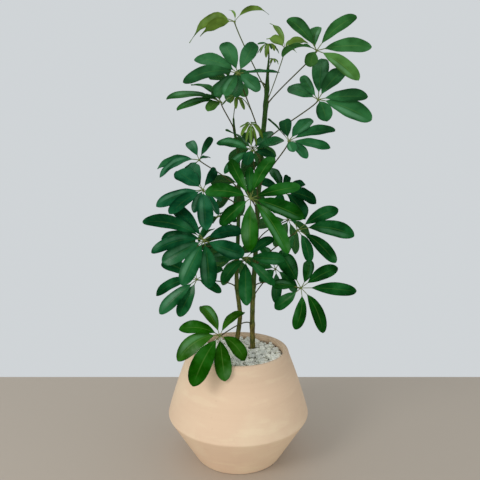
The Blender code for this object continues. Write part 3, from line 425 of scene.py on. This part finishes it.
class Wire:
    """An output of a material's nodes. A sum written with wires adds its Math nodes."""

    def __init__(self, surface, socket):
        self.surface = surface
        self.socket = socket

    def __add__(self, other):
        return self.surface.maths("ADD", self, other)

    __radd__ = __add__

    def __sub__(self, other):
        return self.surface.maths("SUBTRACT", self, other)

    def __rsub__(self, other):
        return self.surface.maths("SUBTRACT", other, self)

    def __mul__(self, other):
        return self.surface.maths("MULTIPLY", self, other)

    __rmul__ = __mul__

    def __abs__(self):
        return self.surface.maths("ABSOLUTE", self)

    def step(self, low, high):
        """0 at low, 1 at high, and soft between them."""
        return self.surface.add("MapRange", {"interpolation_type": "SMOOTHSTEP"},
                                {"Value": self, "From Min": low, "From Max": high})


class Surface:
    """A material round one Principled shader. What is the same all over is set on the shader itself."""

    def __init__(self, name, **even):
        self.material = bpy.data.materials.new(name)
        self.material.use_nodes = True
        self.tree = self.material.node_tree
        self.shader = self.tree.nodes["Principled BSDF"]
        for socket, value in even.items():
            self.shader.inputs[socket.replace("_", " ")].default_value = value

    def feed(self, socket, value):
        if isinstance(value, Wire):
            self.tree.links.new(value.socket, socket)
        elif socket.type == "RGBA":
            socket.default_value = (*value, 1.0)
        else:
            socket.default_value = value

    def add(self, kind, settings, sockets, output=0):
        """A node of a kind: its settings first, then the values or wires of its sockets."""
        made = self.tree.nodes.new("ShaderNode" + kind)
        for name, value in settings.items():
            setattr(made, name, value)
        for key, value in sockets.items():
            self.feed(made.inputs[key], value)
        return Wire(self, made.outputs[output])

    def maths(self, operation, *values):
        return self.add("Math", {"operation": operation}, dict(enumerate(values)))

    def mix(self, factor, first, second):
        return self.add("Mix", {"data_type": "RGBA"}, {0: factor, 6: first, 7: second}, 2)

    def brighten(self, colour, gain):
        return self.add("VectorMath", {"operation": "SCALE"}, {0: colour, "Scale": gain})

    def place(self, stretch=(1.0, 1.0, 1.0)):
        """Object coordinates, stretched along the axes."""
        where = self.add("TexCoord", {}, {}, "Object")
        return self.add("Mapping", {}, {"Vector": where, "Scale": stretch})

    def noise(self, where, scale, detail=3):
        sockets = {"Vector": where, "Scale": scale, "Detail": detail, "Roughness": 0.55}
        return self.add("TexNoise", {}, sockets)

    def parts(self, vector):
        """The three parts of a vector or colour."""
        split = self.add("SeparateXYZ", {}, {"Vector": vector}).socket.node
        return [Wire(self, socket) for socket in split.outputs]

    def attribute(self, name):
        """Four numbers of the piece's own attribute."""
        read = self.add("Attribute", {"attribute_name": name}, {}, "Vector")
        return self.parts(read) + [Wire(self, read.socket.node.outputs["Alpha"])]

    def show(self, colour, roughness, height, strength, distance):
        self.feed(self.shader.inputs["Base Color"], colour)
        self.feed(self.shader.inputs["Roughness"], roughness)
        bump = self.add("Bump", {}, {"Height": height, "Strength": strength, "Distance": distance})
        self.feed(self.shader.inputs["Normal"], bump)
        return self.material


def clay_surface(pot):
    look = Surface("terracotta", Specular_IOR_Level=0.25)
    where = look.place()
    height = look.parts(where)[2]
    bands = look.noise(look.place((2, 2, 70)), 1, 4)
    fine_bands = look.noise(look.place((5, 5, 330)), 1, 3)
    clouds = look.noise(where, 7, 4)
    grain = look.noise(where, 420, 2)
    pores = look.noise(where, 130, 2).step(0.66, 0.76)
    # Painted light: the lower cone is painted a little lighter, standing for light from below
    below = height.step(pot.belly_height + 0.004, pot.belly_height - 0.004)
    shade = bands.step(0.42, 0.75) * 0.16 + fine_bands.step(0.45, 0.75) * 0.07
    colour = look.mix(shade, pot.clay, pot.clay_shade)
    streaks = look.noise(look.place((11, 11, 52)), 1, 5)
    bloom = clouds.step(0.46, 0.66) * 0.55 + streaks.step(0.54, 0.68) * 0.40
    colour = look.mix(bloom, colour, pot.bloom)
    colour = look.mix(pores * 0.35, colour, pot.clay_shade)
    # Painted shade: a darker collar below the lip
    painted_shade_under_lip = height.step(pot.shoulder_height - 0.055, pot.shoulder_height) * 0.09
    colour = look.brighten(colour, 0.93 + below * 0.06 - painted_shade_under_lip)
    relief = bands * 0.20 + fine_bands * 0.12 + grain * 0.12 - pores * 0.25
    return look.show(colour, 0.78 + clouds * 0.12, relief, 0.25, 0.0012)


def soil_surface(filling):
    look = Surface("soil", Specular_IOR_Level=0.3)
    where = look.place()
    crumbs = look.noise(where, 260, 4)
    lumps = look.noise(where, 70, 3)
    colour = look.mix(crumbs.step(0.48, 0.68), filling.soil, filling.crumb)
    return look.show(colour, 0.9, crumbs * 0.6 + lumps, 0.8, 0.002)


def marble_surface(filling):
    look = Surface("marble chips", Specular_IOR_Level=0.4)
    where = look.place()
    tone = look.attribute("chip")[0]
    cloud = look.noise(where, 150, 4)
    vein = abs(look.noise(where, 90, 3) - 0.5).step(0.035, 0)
    grey = tone.step(0.75, 1) * 0.45 + cloud.step(0.50, 0.70) * 0.12 + vein * 0.15
    colour = look.mix(grey, filling.marble, filling.grey_marble)
    return look.show(colour, 0.52 + cloud * 0.2, cloud + look.noise(where, 700) * 0.4, 0.25, 0.0006)


def bark_surface(stems):
    look = Surface("bark", Specular_IOR_Level=0.10)
    height = look.parts(look.place())[2]
    streaks = look.noise(look.place((420, 420, 60)), 1, 4)
    patches = look.noise(look.place((60, 60, 40)), 1, 3)
    lenticels = look.noise(look.place((260, 260, 420)), 1, 1).step(0.66, 0.72)
    age = (height + patches * 0.16).step(0.62, 0.26)
    colour = look.mix(age, stems.green_bark, stems.old_bark)
    colour = look.mix(patches.step(0.42, 0.66) * 0.45, colour, stems.green_bark)
    colour = look.mix(lenticels * (0.25 + age * 0.45), colour, stems.scar)
    colour = look.brighten(colour, 0.55 + streaks.step(0.32, 0.66) * 0.8)
    return look.show(colour, 0.62 + streaks * 0.15, streaks + lenticels * 0.8, 0.45, 0.0008)


def leaf_surface(name, leaves, shade, light, high, petiole):
    """Blades with a midrib and side veins, paler below, on stalks of their own colour, with painted light:
    lighter on the highest leaves, painted sheen and painted shade in patches, and a painted highlight strip
    beside the midrib of some leaflets.
    """
    look = Surface(name, Specular_IOR_Level=0, Coat_Roughness=0.27)
    where = look.place()
    across, along, gloss_and_highlight, tone = look.attribute("blade")
    upper = gloss_and_highlight.step(0.15, 0.40)
    edge = abs(across - 0.5) * 2
    mottle = look.noise(where, 60, 4)
    # Noise that places the painted sheen and the painted shade patches
    light_and_shade_patch = look.noise(where, 17, 3) + (gloss_and_highlight - 0.75) * 0.30
    height = look.parts(where)[2]
    blade_along = (along - BLADE_START) * (1 / (1 - BLADE_START))
    rib = edge.step(0.09, 0.015) * blade_along.step(1, 0.55)
    waves = look.maths("FRACT", blade_along * 10 - edge * 1.5)
    veins = abs(waves - 0.5).step(0.10, 0) * edge.step(0.98, 0.5)
    face = look.mix(tone + mottle * 0.30 - 0.15, shade, light)
    # Painted light: the highest leaves are mixed towards the high colour and brightened, standing for the
    # stronger light up there
    raised = height.step(0.60, 0.92)
    face = look.mix(tone.step(1.1, 2), face, leaves.turning)
    face = look.mix(raised * 0.5, face, high)
    # Painted highlight: sheen patches brighten the colour, and also get a clear coat
    sheen = light_and_shade_patch.step(0.44, 0.68)
    # Painted shade: darker patches, and darker towards the edges
    shadow = light_and_shade_patch.step(0.56, 0.32) * 0.55 + edge.step(0.55, 1) * 0.18
    # Painted highlight: a strip beside the midrib of some leaflets, tinted and brightened, which also gets a
    # clear coat
    strip = across.step(0.55, 0.66) * across.step(0.96, 0.76)
    strip = strip * blade_along.step(0.08, 0.40) * blade_along.step(0.98, 0.70)
    strip = strip * gloss_and_highlight.step(0.70, 0.92)
    face = look.mix(strip * 0.22, face, leaves.painted_gleam)
    # Painted light and shade: brightened by the sheen, the height and the strip, darkened by the painted
    # shade
    face = look.brighten(face, 1 + sheen * 0.45 + raised * 0.22 + strip * 0.25 - shadow)
    face = look.mix(rib * (0.10 + tone * 0.25) + veins * 0.06, face, leaves.rib)
    below = look.mix(rib * 0.8 + veins * 0.25, leaves.underside, leaves.rib)
    below = look.brighten(below, 0.6 + tone * 0.9)
    colour = look.mix(upper, below, face)
    green = along.step(0.17, 0.225)
    stalks = look.mix(along.step(-0.02, -0.16), leaves.stalk, petiole)
    colour = look.mix(green, stalks, colour)
    look.feed(look.shader.inputs["Coat Weight"], (sheen + strip) * upper * green * 0.35)
    roughness = 0.42 + (1 - upper) * 0.15 + mottle * 0.10
    relief = veins * -0.5 - rib * 0.6 + look.noise(where, 900, 2) * 0.25 + mottle * 0.5
    return look.show(colour, roughness, relief * green, 0.35, 0.0009)


def put_in_scene(name, data):
    made = bpy.data.objects.new(name, data)
    bpy.context.scene.collection.objects.link(made)
    return made


def mesh_object(name, shape, coat):
    """An object of a finished shape."""
    mesh = bpy.data.meshes.new(name)
    shape.to_mesh(mesh)
    shape.free()
    mesh.materials.append(coat)
    return put_in_scene(name, mesh)


def finish_piece(name, stands_for, shape, coat, sharp):
    """Make a shape a piece of the plant, with edges where its faces turn by more than sharp degrees."""
    low, high = CAD_BOX
    for vertex in shape.verts:
        vertex.co = [min(max(place, least), most) for place, least, most in zip(vertex.co, low, high)]
    bmesh.ops.recalc_face_normals(shape, faces=shape.faces)
    piece = mesh_object(name, shape, coat)
    piece.data.shade_smooth()
    piece.data.set_sharp_from_angle(angle=radians(sharp))
    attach(piece, "root")
    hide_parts(stands_for)


def turned(profile, steps):
    """A closed body of revolution about Z from a profile that starts and ends on the axis."""
    shape = bmesh.new()
    points = [shape.verts.new((radius, 0.0, height)) for radius, height in profile]
    edges = [shape.edges.new(pair) for pair in zip(points, points[1:])]
    bmesh.ops.spin(shape, geom=points + edges, cent=(0, 0, 0), axis=(0, 0, 1), angle=tau,
                   steps=steps, use_merge=True)
    bmesh.ops.remove_doubles(shape, verts=shape.verts, dist=0.00005)
    return shape


def extend(shape, face, corners):
    """Extrude a face and move its copy's corners, which keep their order round the face."""
    grown = bmesh.ops.extrude_discrete_faces(shape, faces=[face])["faces"][0]
    for vertex, corner in zip(grown.verts, corners):
        vertex.co = corner
    return grown


def loft(shape, rings, layer=None, marks=None):
    """A closed body through rings of corners, grown ring by ring from a first face."""
    first = [shape.verts.new(corner) for corner in rings[0]]
    face = shape.faces.new(first)
    for number, ring in enumerate(rings):
        if number:
            face = extend(shape, face, ring)
        if layer is not None:
            for vertex, mark in zip(face.verts, marks[number]):
                vertex[layer] = mark
    shape.faces.new(reversed(first))


def between(table, value):
    """A table's second number at a value of its first, read along straight lines."""
    for (low, first), (high, second) in zip(table, table[1:]):
        if value <= high:
            return first + (second - first) * (value - low) / (high - low)
    return table[-1][1]


def smooth(low, high, value):
    part = min(max((value - low) / (high - low), 0.0), 1.0)
    return part * part * (3 - 2 * part)


def rounded_corner(before, corner, after, reach, steps):
    """Points of a soft corner that starts and ends at the given reach from it."""
    corner = Vector(corner)
    start = corner + (Vector(before) - corner).normalized() * reach
    end = corner + (Vector(after) - corner).normalized() * reach
    points = []
    for step in range(steps + 1):
        part = step / steps
        points.append(start.lerp(corner, part).lerp(corner.lerp(end, part), part))
    return points


def inner_radius(pot, height):
    """Radius of the pot's inner wall at a height below the lip."""
    outside = ((0, pot.base_radius), (pot.belly_height, pot.belly_radius),
               (pot.shoulder_height, pot.shoulder_radius))
    return between(outside, height) - pot.wall


def filled_in(points, gap):
    """The same line with more points on its long stretches."""
    line = [Vector(points[0])]
    for point in points[1:]:
        start, end = line[-1].copy(), Vector(point)
        pieces = max(1, round((end - start).length / gap))
        line += [start.lerp(end, number / pieces) for number in range(1, pieces + 1)]
    return line


def pot_profile(pot):
    """The pot's outline from the middle of its base, up its outside, over the lip and down inside."""
    base = (pot.base_radius, 0)
    belly = (pot.belly_radius, pot.belly_height)
    shoulder = (pot.shoulder_radius, pot.shoulder_height)
    upper = []
    for number in range(1, UPPER_STEPS + 1):
        part = number / UPPER_STEPS
        point = Vector(belly).lerp(Vector(shoulder), part)
        upper.append(point + Vector((4 * pot.bulge * part * (1 - part), 0)))
    outer = [(0, 0)] + rounded_corner((0, 0), base, belly, BASE_ROUNDING, 4)
    outer += rounded_corner(base, belly, upper[3], pot.crease, 8) + upper[1:]
    outer = filled_in(outer, POT_STEP)
    for point in outer:
        if point.y > RINGS_FROM:
            rings = noise.noise((0, 0, point.y * BROAD_RINGS)) + noise.noise((3, 0, point.y * FINE_RINGS)) / 2
            point.x += rings * pot.ring_depth
    rim, top = pot.rim_radius, pot.rim_height
    lip = [(rim + out, top - down) for out, down in LIP]
    inner = [(inner_radius(pot, height), height) for height in (INNER_MOUTH, pot.belly_height, pot.floor)]
    return [(point[0], point[1]) for point in outer + lip + inner + [(0, pot.floor)]]


def stem_line(points, gap):
    """A smooth line of (centre, radius) through a stem's points."""
    places = [Vector(place) for place, radius in points]
    radii = [radius for place, radius in points]
    line = []
    for number in range(len(places) - 1):
        before = places[max(number - 1, 0)]
        start, end = places[number], places[number + 1]
        after = places[min(number + 2, len(places) - 1)]
        leave = (end - before) * ((end - start).length / max((end - before).length, 1e-6))
        arrive = (after - start) * ((end - start).length / max((after - start).length, 1e-6))
        steps = max(2, round((end - start).length / gap))
        for step in range(steps):
            part = step / steps
            rest = 1 - part
            centre = (start * (1 + 2 * part) * rest * rest + leave * part * rest * rest
                      + end * part * part * (3 - 2 * part) - arrive * part * part * rest)
            line.append((centre, radii[number] * rest + radii[number + 1] * part))
    return line + [(places[-1], radii[-1])]


def along_stem(points, height):
    """Centre, radius and direction of a stem at a height."""
    for (lower, lower_radius), (upper, upper_radius) in zip(points, points[1:]):
        if lower[2] <= height <= upper[2]:
            part = (height - lower[2]) / (upper[2] - lower[2])
            direction = (Vector(upper) - Vector(lower)).normalized()
            centre = Vector(lower).lerp(Vector(upper), part)
            return centre, lower_radius + (upper_radius - lower_radius) * part, direction
    raise ValueError("height is not on the stem")


def tube_ring(centre, direction, start, radius, sides):
    """Corners of a round ring across a direction, the first of them towards start."""
    first = (start - direction * start.dot(direction)).normalized()
    second = direction.cross(first)
    corners = []
    for number in range(sides):
        angle = tau * number / sides
        corners.append(centre + (first * cos(angle) + second * sin(angle)) * radius)
    return corners


def add_leaflet(shape, layer, leaf, row, lift, rng, leaves):
    """One leaflet: a slim round stalk that spreads into a folded, waved blade."""
    clock, reach, arch, bow, breadth, near, roll, limp = row
    outline = TAILED_OUTLINE if leaf.tailed else OUTLINE
    bare = leaf.bare
    angle = radians(clock)
    flat = leaf.twelve * cos(angle) + leaf.three * sin(angle)
    along = flat * cos(lift) + leaf.normal * sin(lift)
    side = along.cross(leaf.normal).normalized()
    along += TOWARDS_VIEWER * near
    crown = (leaf.normal + UP).normalized() * arch * reach + side * bow * reach
    hang = leaf.droop * reach * reach * limp
    slim = leaf.width * breadth
    width = leaves.blade_width + leaves.width_per_reach * reach
    half_width = width * slim * rng.uniform(*WIDTH_SPREAD) / 2
    stalk = leaves.stalk_radius * slim ** 0.5
    thickness = leaves.thickness * slim ** 0.5 / 2
    fold = leaves.fold * rng.uniform(*FOLD_SPREAD) * (NARROW_FOLD if slim < 1 else 1.0)
    twist = radians(rng.uniform(-TWIST, TWIST))
    phases = rng.uniform(0, tau), rng.uniform(0, tau)
    ripples = rng.uniform(*RIPPLES)
    # A level per leaflet for its clear coat and its painted highlights, 0 below
    gloss_and_highlight = 0.5 + phases[0] / tau / 2
    tone = leaf.tones.get(clock, leaf.tone) + rng.uniform(-TONE_SPREAD, TONE_SPREAD)

    def spine(part):
        arched = crown * 4 * part * (1 - part)
        sunk = leaf.normal * leaf.bend + UP * hang
        return leaf.hub + along * reach * part + arched - sunk * part * part

    rings, marks = [], []
    stations = [bare * part for part in STALK_RINGS]
    stations += [bare + (1 - bare) * part for part in BLADE_RINGS]
    upper_count = BLADE_CORNERS // 2
    for part in stations:
        blade = max(0.0, (part - bare) / (1 - bare))
        reached = BLADE_START + (1 - BLADE_START) * blade if blade > 0 else BLADE_START * part / bare
        middle = spine(part)
        tangent = (spine(part + 0.01) - spine(part - 0.01)).normalized()
        turn = Quaternion(tangent, twist * blade + roll * smooth(0.0, 0.35, part))
        right = turn @ (side - tangent * side.dot(tangent)).normalized()
        rise = right.cross(tangent).normalized()
        spread = smooth(0.0, 0.05, blade)
        wide = half_width * between(outline, blade)
        rib = stalk * (1 - 0.75 * blade)
        ring, mark = [], []
        for number in range(BLADE_CORNERS):
            on_top = number < upper_count
            place = number if on_top else BLADE_CORNERS - 1 - number
            spot = -1 + 2 * place / (upper_count - 1)
            turned_by = pi - tau * (place + 0.5) / BLADE_CORNERS
            face = 1 if on_top else -1
            swell = max(0.0, 1 - (abs(spot) * wide / (stalk * RIB_REACH)) ** 2)
            thick = thickness * (1 - EDGE_THINNING * abs(spot))
            thick += rib * swell * (RIB_ABOVE if on_top else RIB_BELOW)
            wave = sin(tau * ripples * blade + phases[0 if spot < 0 else 1]) * leaves.wave * slim
            lifted = fold * (abs(spot) - LEVEL_PART) * wide + wave * spot * spot * smooth(0.0, 0.3, blade)
            sheet = right * spot * wide + rise * (lifted + face * thick)
            rod = right * cos(turned_by) * stalk + rise * face * sin(turned_by) * stalk
            ring.append(middle + rod.lerp(sheet, spread))
            mark.append((0.5 + spot / 2, reached, gloss_and_highlight if on_top else 0, tone))
        rings.append(ring)
        marks.append(mark)
    loft(shape, rings, layer, marks)


def add_petiole(shape, layer, leaf, leaves):
    """The leaf's stalk, from the hub down to a small sheath on the stem."""
    points = STEMS[leaf.stem]
    if leaf.joint is None:
        end = Vector(points[-1][0]) - UP * TIP_SEAT
        leaving = UP
    else:
        centre, radius, direction = along_stem(points, leaf.joint)
        outward = leaf.hub - centre
        outward.z = 0
        outward = (outward - direction * outward.dot(direction)).normalized()
        end = centre + outward * radius * PETIOLE_SEAT
        leaving = (outward + direction * PETIOLE_RISE).normalized()
    start = leaf.hub + leaf.normal * HUB_SEAT
    span = (end - start).length
    arms = start - leaf.normal * span * PETIOLE_ARMS[0], end + leaving * span * PETIOLE_ARMS[1]
    slim = leaf.width ** 0.5
    rings, marks = [], []
    for number in range(PETIOLE_RINGS + 1):
        part = number / PETIOLE_RINGS
        rest = 1 - part
        middle = (start * rest ** 3 + arms[0] * 3 * rest * rest * part
                  + arms[1] * 3 * rest * part * part + end * part ** 3)
        tangent = ((arms[0] - start) * rest * rest + (arms[1] - arms[0]) * 2 * rest * part
                   + (end - arms[1]) * part * part).normalized()
        swell = 1 + HUB_SWELL * smooth(0.12, 0, part) + SHEATH_SWELL * smooth(0.88, 1, part)
        radius = leaves.petiole_radius * slim * swell
        rings.append(tube_ring(middle, tangent, leaf.twelve + leaf.three * 0.3, radius, PETIOLE_SIDES))
        marks.append([(0.5, -part, 0.75, leaf.tone)] * PETIOLE_SIDES)
    loft(shape, rings, layer, marks)
    knob = bmesh.ops.create_icosphere(shape, subdivisions=2, radius=HUB_RADIUS * slim)["verts"]
    flatten = Matrix.Scale(HUB_FLATNESS, 4, leaf.normal)
    bmesh.ops.transform(shape, matrix=Matrix.Translation(leaf.hub) @ flatten, verts=knob)
    for vertex in knob:
        vertex[layer] = (0.5, 0.0, 0.75, leaf.tone)


def add_leaf(name, leaf, leaves, coat):
    """One compound leaf with its stalk, standing for its plain solid."""
    rng = random.Random(name)
    shape = bmesh.new()
    # Across and along the blade, the gloss and painted highlight level of the upper face and 0 on the lower
    # one, and tone
    layer = shape.verts.layers.float_color.new("blade")
    for number, row in enumerate(leaf.leaflets):
        raised = number % 2 != leaf.first_up
        add_leaflet(shape, layer, leaf, row, LIFT if raised else -LIFT, rng, leaves)
    add_petiole(shape, layer, leaf, leaves)
    finish_piece(name + "_foliage", name, shape, coat, sharp=60)


class PLANT_OT_pot(bpy.types.Operator):
    """Turn the clay pot with its soft crease, rolled lip and throwing rings."""

    bl_idname = "plant.pot"
    bl_label = "Clay pot"

    def execute(self, context):
        pot = context.scene.plant.pot
        shape = turned(pot_profile(pot), POT_SIDES)
        finish_piece("clay_pot", "pot", shape, clay_surface(pot), sharp=35)
        return {"FINISHED"}


class PLANT_OT_soil(bpy.types.Operator):
    """Fill the pot with soil that has a crumbly top."""

    bl_idname = "plant.soil"
    bl_label = "Soil"

    def execute(self, context):
        settings = context.scene.plant
        pot, top = settings.pot, settings.filling.soil_top
        reach = inner_radius(pot, top) - SOIL_GAP
        foot = pot.floor + SOIL_GAP / 2
        profile = [(0, foot), (inner_radius(pot, pot.floor) - SOIL_GAP, foot),
                   (inner_radius(pot, pot.belly_height) - SOIL_GAP, pot.belly_height), (reach, top)]
        profile += [(reach * (1 - number / SOIL_RINGS), top) for number in range(1, SOIL_RINGS + 1)]
        shape = turned(profile, SOIL_SIDES)
        for vertex in shape.verts:
            # Every point of the top, apart from those at its edge
            if vertex.co.z > top - 0.0001 and vertex.co.xy.length < reach - 0.001:
                lumps = sum(noise.noise(vertex.co * close) * high for close, high in SOIL_LUMPS)
                vertex.co.z += lumps + SOIL_RISE
        finish_piece("potting_soil", "soil", shape, soil_surface(settings.filling), sharp=60)
        return {"FINISHED"}


class PLANT_OT_chips(bpy.types.Operator):
    """Scatter angular marble chips over the soil in three layers."""

    bl_idname = "plant.chips"
    bl_label = "Marble chips"

    def execute(self, context):
        filling = context.scene.plant.filling
        rng = random.Random(CHIP_SEED)
        shape = bmesh.new()
        layer = shape.verts.layers.float_color.new("chip")
        for level, closer in CHIP_LAYERS:
            for x, y in self.places(filling, rng, closer):
                height = level + rng.uniform(-LAYER_SCATTER, LAYER_SCATTER)
                self.add_chip(shape, layer, filling, rng, Vector((x, y, height)))
        finish_piece("marble_chips", "pebbles", shape, marble_surface(filling), sharp=25)
        return {"FINISHED"}

    def places(self, filling, rng, closer):
        """Places on the soil, no closer than the pitch, and clear of the stems."""
        kept = []
        for attempt in range(filling.chips):
            angle, far = rng.uniform(0, tau), CHIP_FIELD * sqrt(rng.random())
            spot = Vector((far * cos(angle), far * sin(angle)))
            clear = all((spot - other).length > filling.chip_pitch * closer for other in kept)
            away = all((spot - Vector(points[0][0][:2])).length > STEM_CLEARANCE for points in STEMS.values())
            if clear and away:
                kept.append(spot)
        return kept

    def add_chip(self, shape, layer, filling, rng, place):
        """One chip: the hull of a few points on a squashed ball, with its edges worn."""
        chip = bmesh.new()
        size = filling.chip_size / 2 * rng.uniform(*CHIP_LENGTHS)
        squash = Vector((1.0, rng.uniform(*CHIP_WIDTHS), rng.uniform(*CHIP_HEIGHTS))) * size
        for number in range(CHIP_POINTS):
            point = Vector([rng.gauss(0, 1) for axis in range(3)]).normalized()
            point = Vector([copysign(abs(part) ** CHIP_SQUARENESS, part) for part in point])
            chip.verts.new(point * squash * rng.uniform(*CHIP_DEPTHS))
        hull = bmesh.ops.convex_hull(chip, input=chip.verts)
        loose = [part for part in hull["geom_interior"] if isinstance(part, bmesh.types.BMVert)]
        bmesh.ops.delete(chip, geom=loose, context="VERTS")
        bmesh.ops.bevel(chip, geom=chip.edges, offset=size * CHIP_WEAR, affect="EDGES", segments=1,
                        profile=0.5, material=-1)
        turn = Matrix.Rotation(rng.uniform(0, tau), 4, "Z")
        lean = Matrix.Rotation(rng.gauss(0, CHIP_LEAN), 4, "X")
        bmesh.ops.transform(chip, matrix=Matrix.Translation(place) @ turn @ lean, verts=chip.verts)
        tone = rng.random()
        copied = {}
        for vertex in chip.verts:
            copied[vertex] = shape.verts.new(vertex.co)
            copied[vertex][layer] = (tone, 0.0, 0.0, 1.0)
        for face in chip.faces:
            shape.faces.new([copied[vertex] for vertex in face.verts])
        chip.free()


class PLANT_OT_stems(bpy.types.Operator):
    """Grow the two woody stems with their scars and swellings."""

    bl_idname = "plant.stems"
    bl_label = "Stems"

    def execute(self, context):
        stems = context.scene.plant.stems
        coat = bark_surface(stems)
        for name, points in STEMS.items():
            rng = random.Random(name)
            joints = [leaf.joint for leaf in LEAVES.values() if leaf.stem == name and leaf.joint]
            scars = [FIRST_SCAR + SCAR_SPACING * number + rng.uniform(-SCAR_SCATTER, SCAR_SCATTER)
                     for number in range(LEAF_SCARS)]
            line = stem_line(points, STEM_STEP)
            rings = []
            for number, (centre, radius) in enumerate(line):
                before = line[max(number - 1, 0)][0]
                after = line[min(number + 1, len(line) - 1)][0]
                swell = sum(exp(-((centre.z - joint) / JOINT_REACH) ** 2) for joint in joints)
                scar = sum(exp(-((centre.z - level) / SCAR_REACH) ** 2) for level in scars)
                uneven = noise.noise((centre.z * 40, radius * 900, 0)) * UNEVENNESS
                wide = radius * (1 + stems.swelling * min(swell, MOST_SWELLINGS) + SCAR_RISE * scar + uneven)
                rings.append(tube_ring(centre, (after - before).normalized(), RIGHT, wide, STEM_SIDES))
            tip, radius = line[-1]
            heading = (tip - line[-2][0]).normalized()
            top = tip + heading * radius * 0.5
            rings.append(tube_ring(top, heading, RIGHT, radius * 0.75, STEM_SIDES))
            shape = bmesh.new()
            loft(shape, rings)
            finish_piece(name + "_bark", name, shape, coat, sharp=50)
        return {"FINISHED"}


class PLANT_OT_leaves(bpy.types.Operator):
    """Grow the full-sized compound leaves, the soft young leaves and the sprouts."""

    bl_idname = "plant.leaves"
    bl_label = "Leaves"

    def execute(self, context):
        leaves = context.scene.plant.leaves
        coats = {
            "leaf": leaf_surface("leaf", leaves, leaves.deep_green_and_blue_sheen, leaves.fresh_green, leaves.painted_light_green,
                                 leaves.petiole),
            "young_leaf": leaf_surface("young leaf", leaves, leaves.young_green, leaves.young_gold,
                                       leaves.young_painted_light, leaves.young_petiole),
        }
        for name, leaf in LEAVES.items():
            slot = "leaf" if name.startswith("leaf_") else "young_leaf"
            add_leaf(name, leaf, leaves, coats[slot])
        return {"FINISHED"}


class PLANT_OT_stage(bpy.types.Operator):
    """Lay the plain floor and set the soft light and the camera."""

    bl_idname = "plant.stage"
    bl_label = "Stage"

    def execute(self, context):
        scene = context.scene
        stage = scene.plant.stage
        shape = bmesh.new()
        bmesh.ops.create_grid(shape, x_segments=1, y_segments=1, size=1)
        bmesh.ops.scale(shape, vec=(FLOOR_STRETCH, 1, 1), verts=shape.verts)
        bmesh.ops.translate(shape, vec=FLOOR_MIDDLE, verts=shape.verts)
        look = Surface("floor", Specular_IOR_Level=0.2, Roughness=0.6, Base_Color=(*stage.floor, 1))
        floor = mesh_object("floor", shape, look.material)
        self.add_light("key", place=(-1.9, -1.9, 1.9), target=(0, 0, 0.55), size=1, power=27)
        self.add_light("fill", place=(0, -2.3, 0.30), target=(0, 0, 0.2), size=1.2, power=14)
        world = bpy.data.worlds.new("surround")
        world.use_nodes = True
        background = world.node_tree.nodes["Background"]
        background.inputs["Color"].default_value = (*stage.surround, 1.0)
        scene.world = world
        lens = bpy.data.cameras.new("camera")
        lens.sensor_width = SENSOR_WIDTH
        lens.lens = stage.focal
        camera = put_in_scene("camera", lens)
        camera.location = stage.eye
        camera.rotation_euler = (pi / 2 - stage.pitch, 0, 0)
        scene.camera = camera
        scene.view_settings.view_transform = "Standard"
        return {"FINISHED"}

    def add_light(self, name, place, target, size, power):
        lamp = bpy.data.lights.new(name, "AREA")
        lamp.size = size
        lamp.energy = power
        light = put_in_scene(name, lamp)
        light.location = place
        light.rotation_euler = (Vector(target) - Vector(place)).to_track_quat("-Z", "Y").to_euler()


STEPS = (PLANT_OT_pot, PLANT_OT_soil, PLANT_OT_chips, PLANT_OT_stems, PLANT_OT_leaves, PLANT_OT_stage)


class PLANT_PT_panel(bpy.types.Panel):
    """Buttons that build the plant, and its settings."""

    bl_idname = "PLANT_PT_panel"
    bl_label = "Umbrella plant"
    bl_space_type = "VIEW_3D"
    bl_region_type = "UI"
    bl_category = "Umbrella plant"

    def draw(self, context):
        for step in STEPS:
            self.layout.operator(step.bl_idname)
        settings = context.scene.plant
        for part in ("pot", "filling", "stems", "leaves", "stage"):
            group = getattr(settings, part)
            box = self.layout.box()
            for name in group.__annotations__:
                box.prop(group, name)


CLASSES = (PotSettings, FillingSettings, StemSettings, LeafSettings, StageSettings, PlantSettings, *STEPS,
           PLANT_PT_panel)


def register():
    for made in CLASSES:
        bpy.utils.register_class(made)
    bpy.types.Scene.plant = PointerProperty(type=PlantSettings)


def unregister():
    del bpy.types.Scene.plant
    for made in reversed(CLASSES):
        bpy.utils.unregister_class(made)


def main():
    register()
    bpy.ops.plant.pot()
    bpy.ops.plant.soil()
    bpy.ops.plant.chips()
    bpy.ops.plant.stems()
    bpy.ops.plant.leaves()
    bpy.ops.plant.stage()


if __name__ == "__main__":
    main()
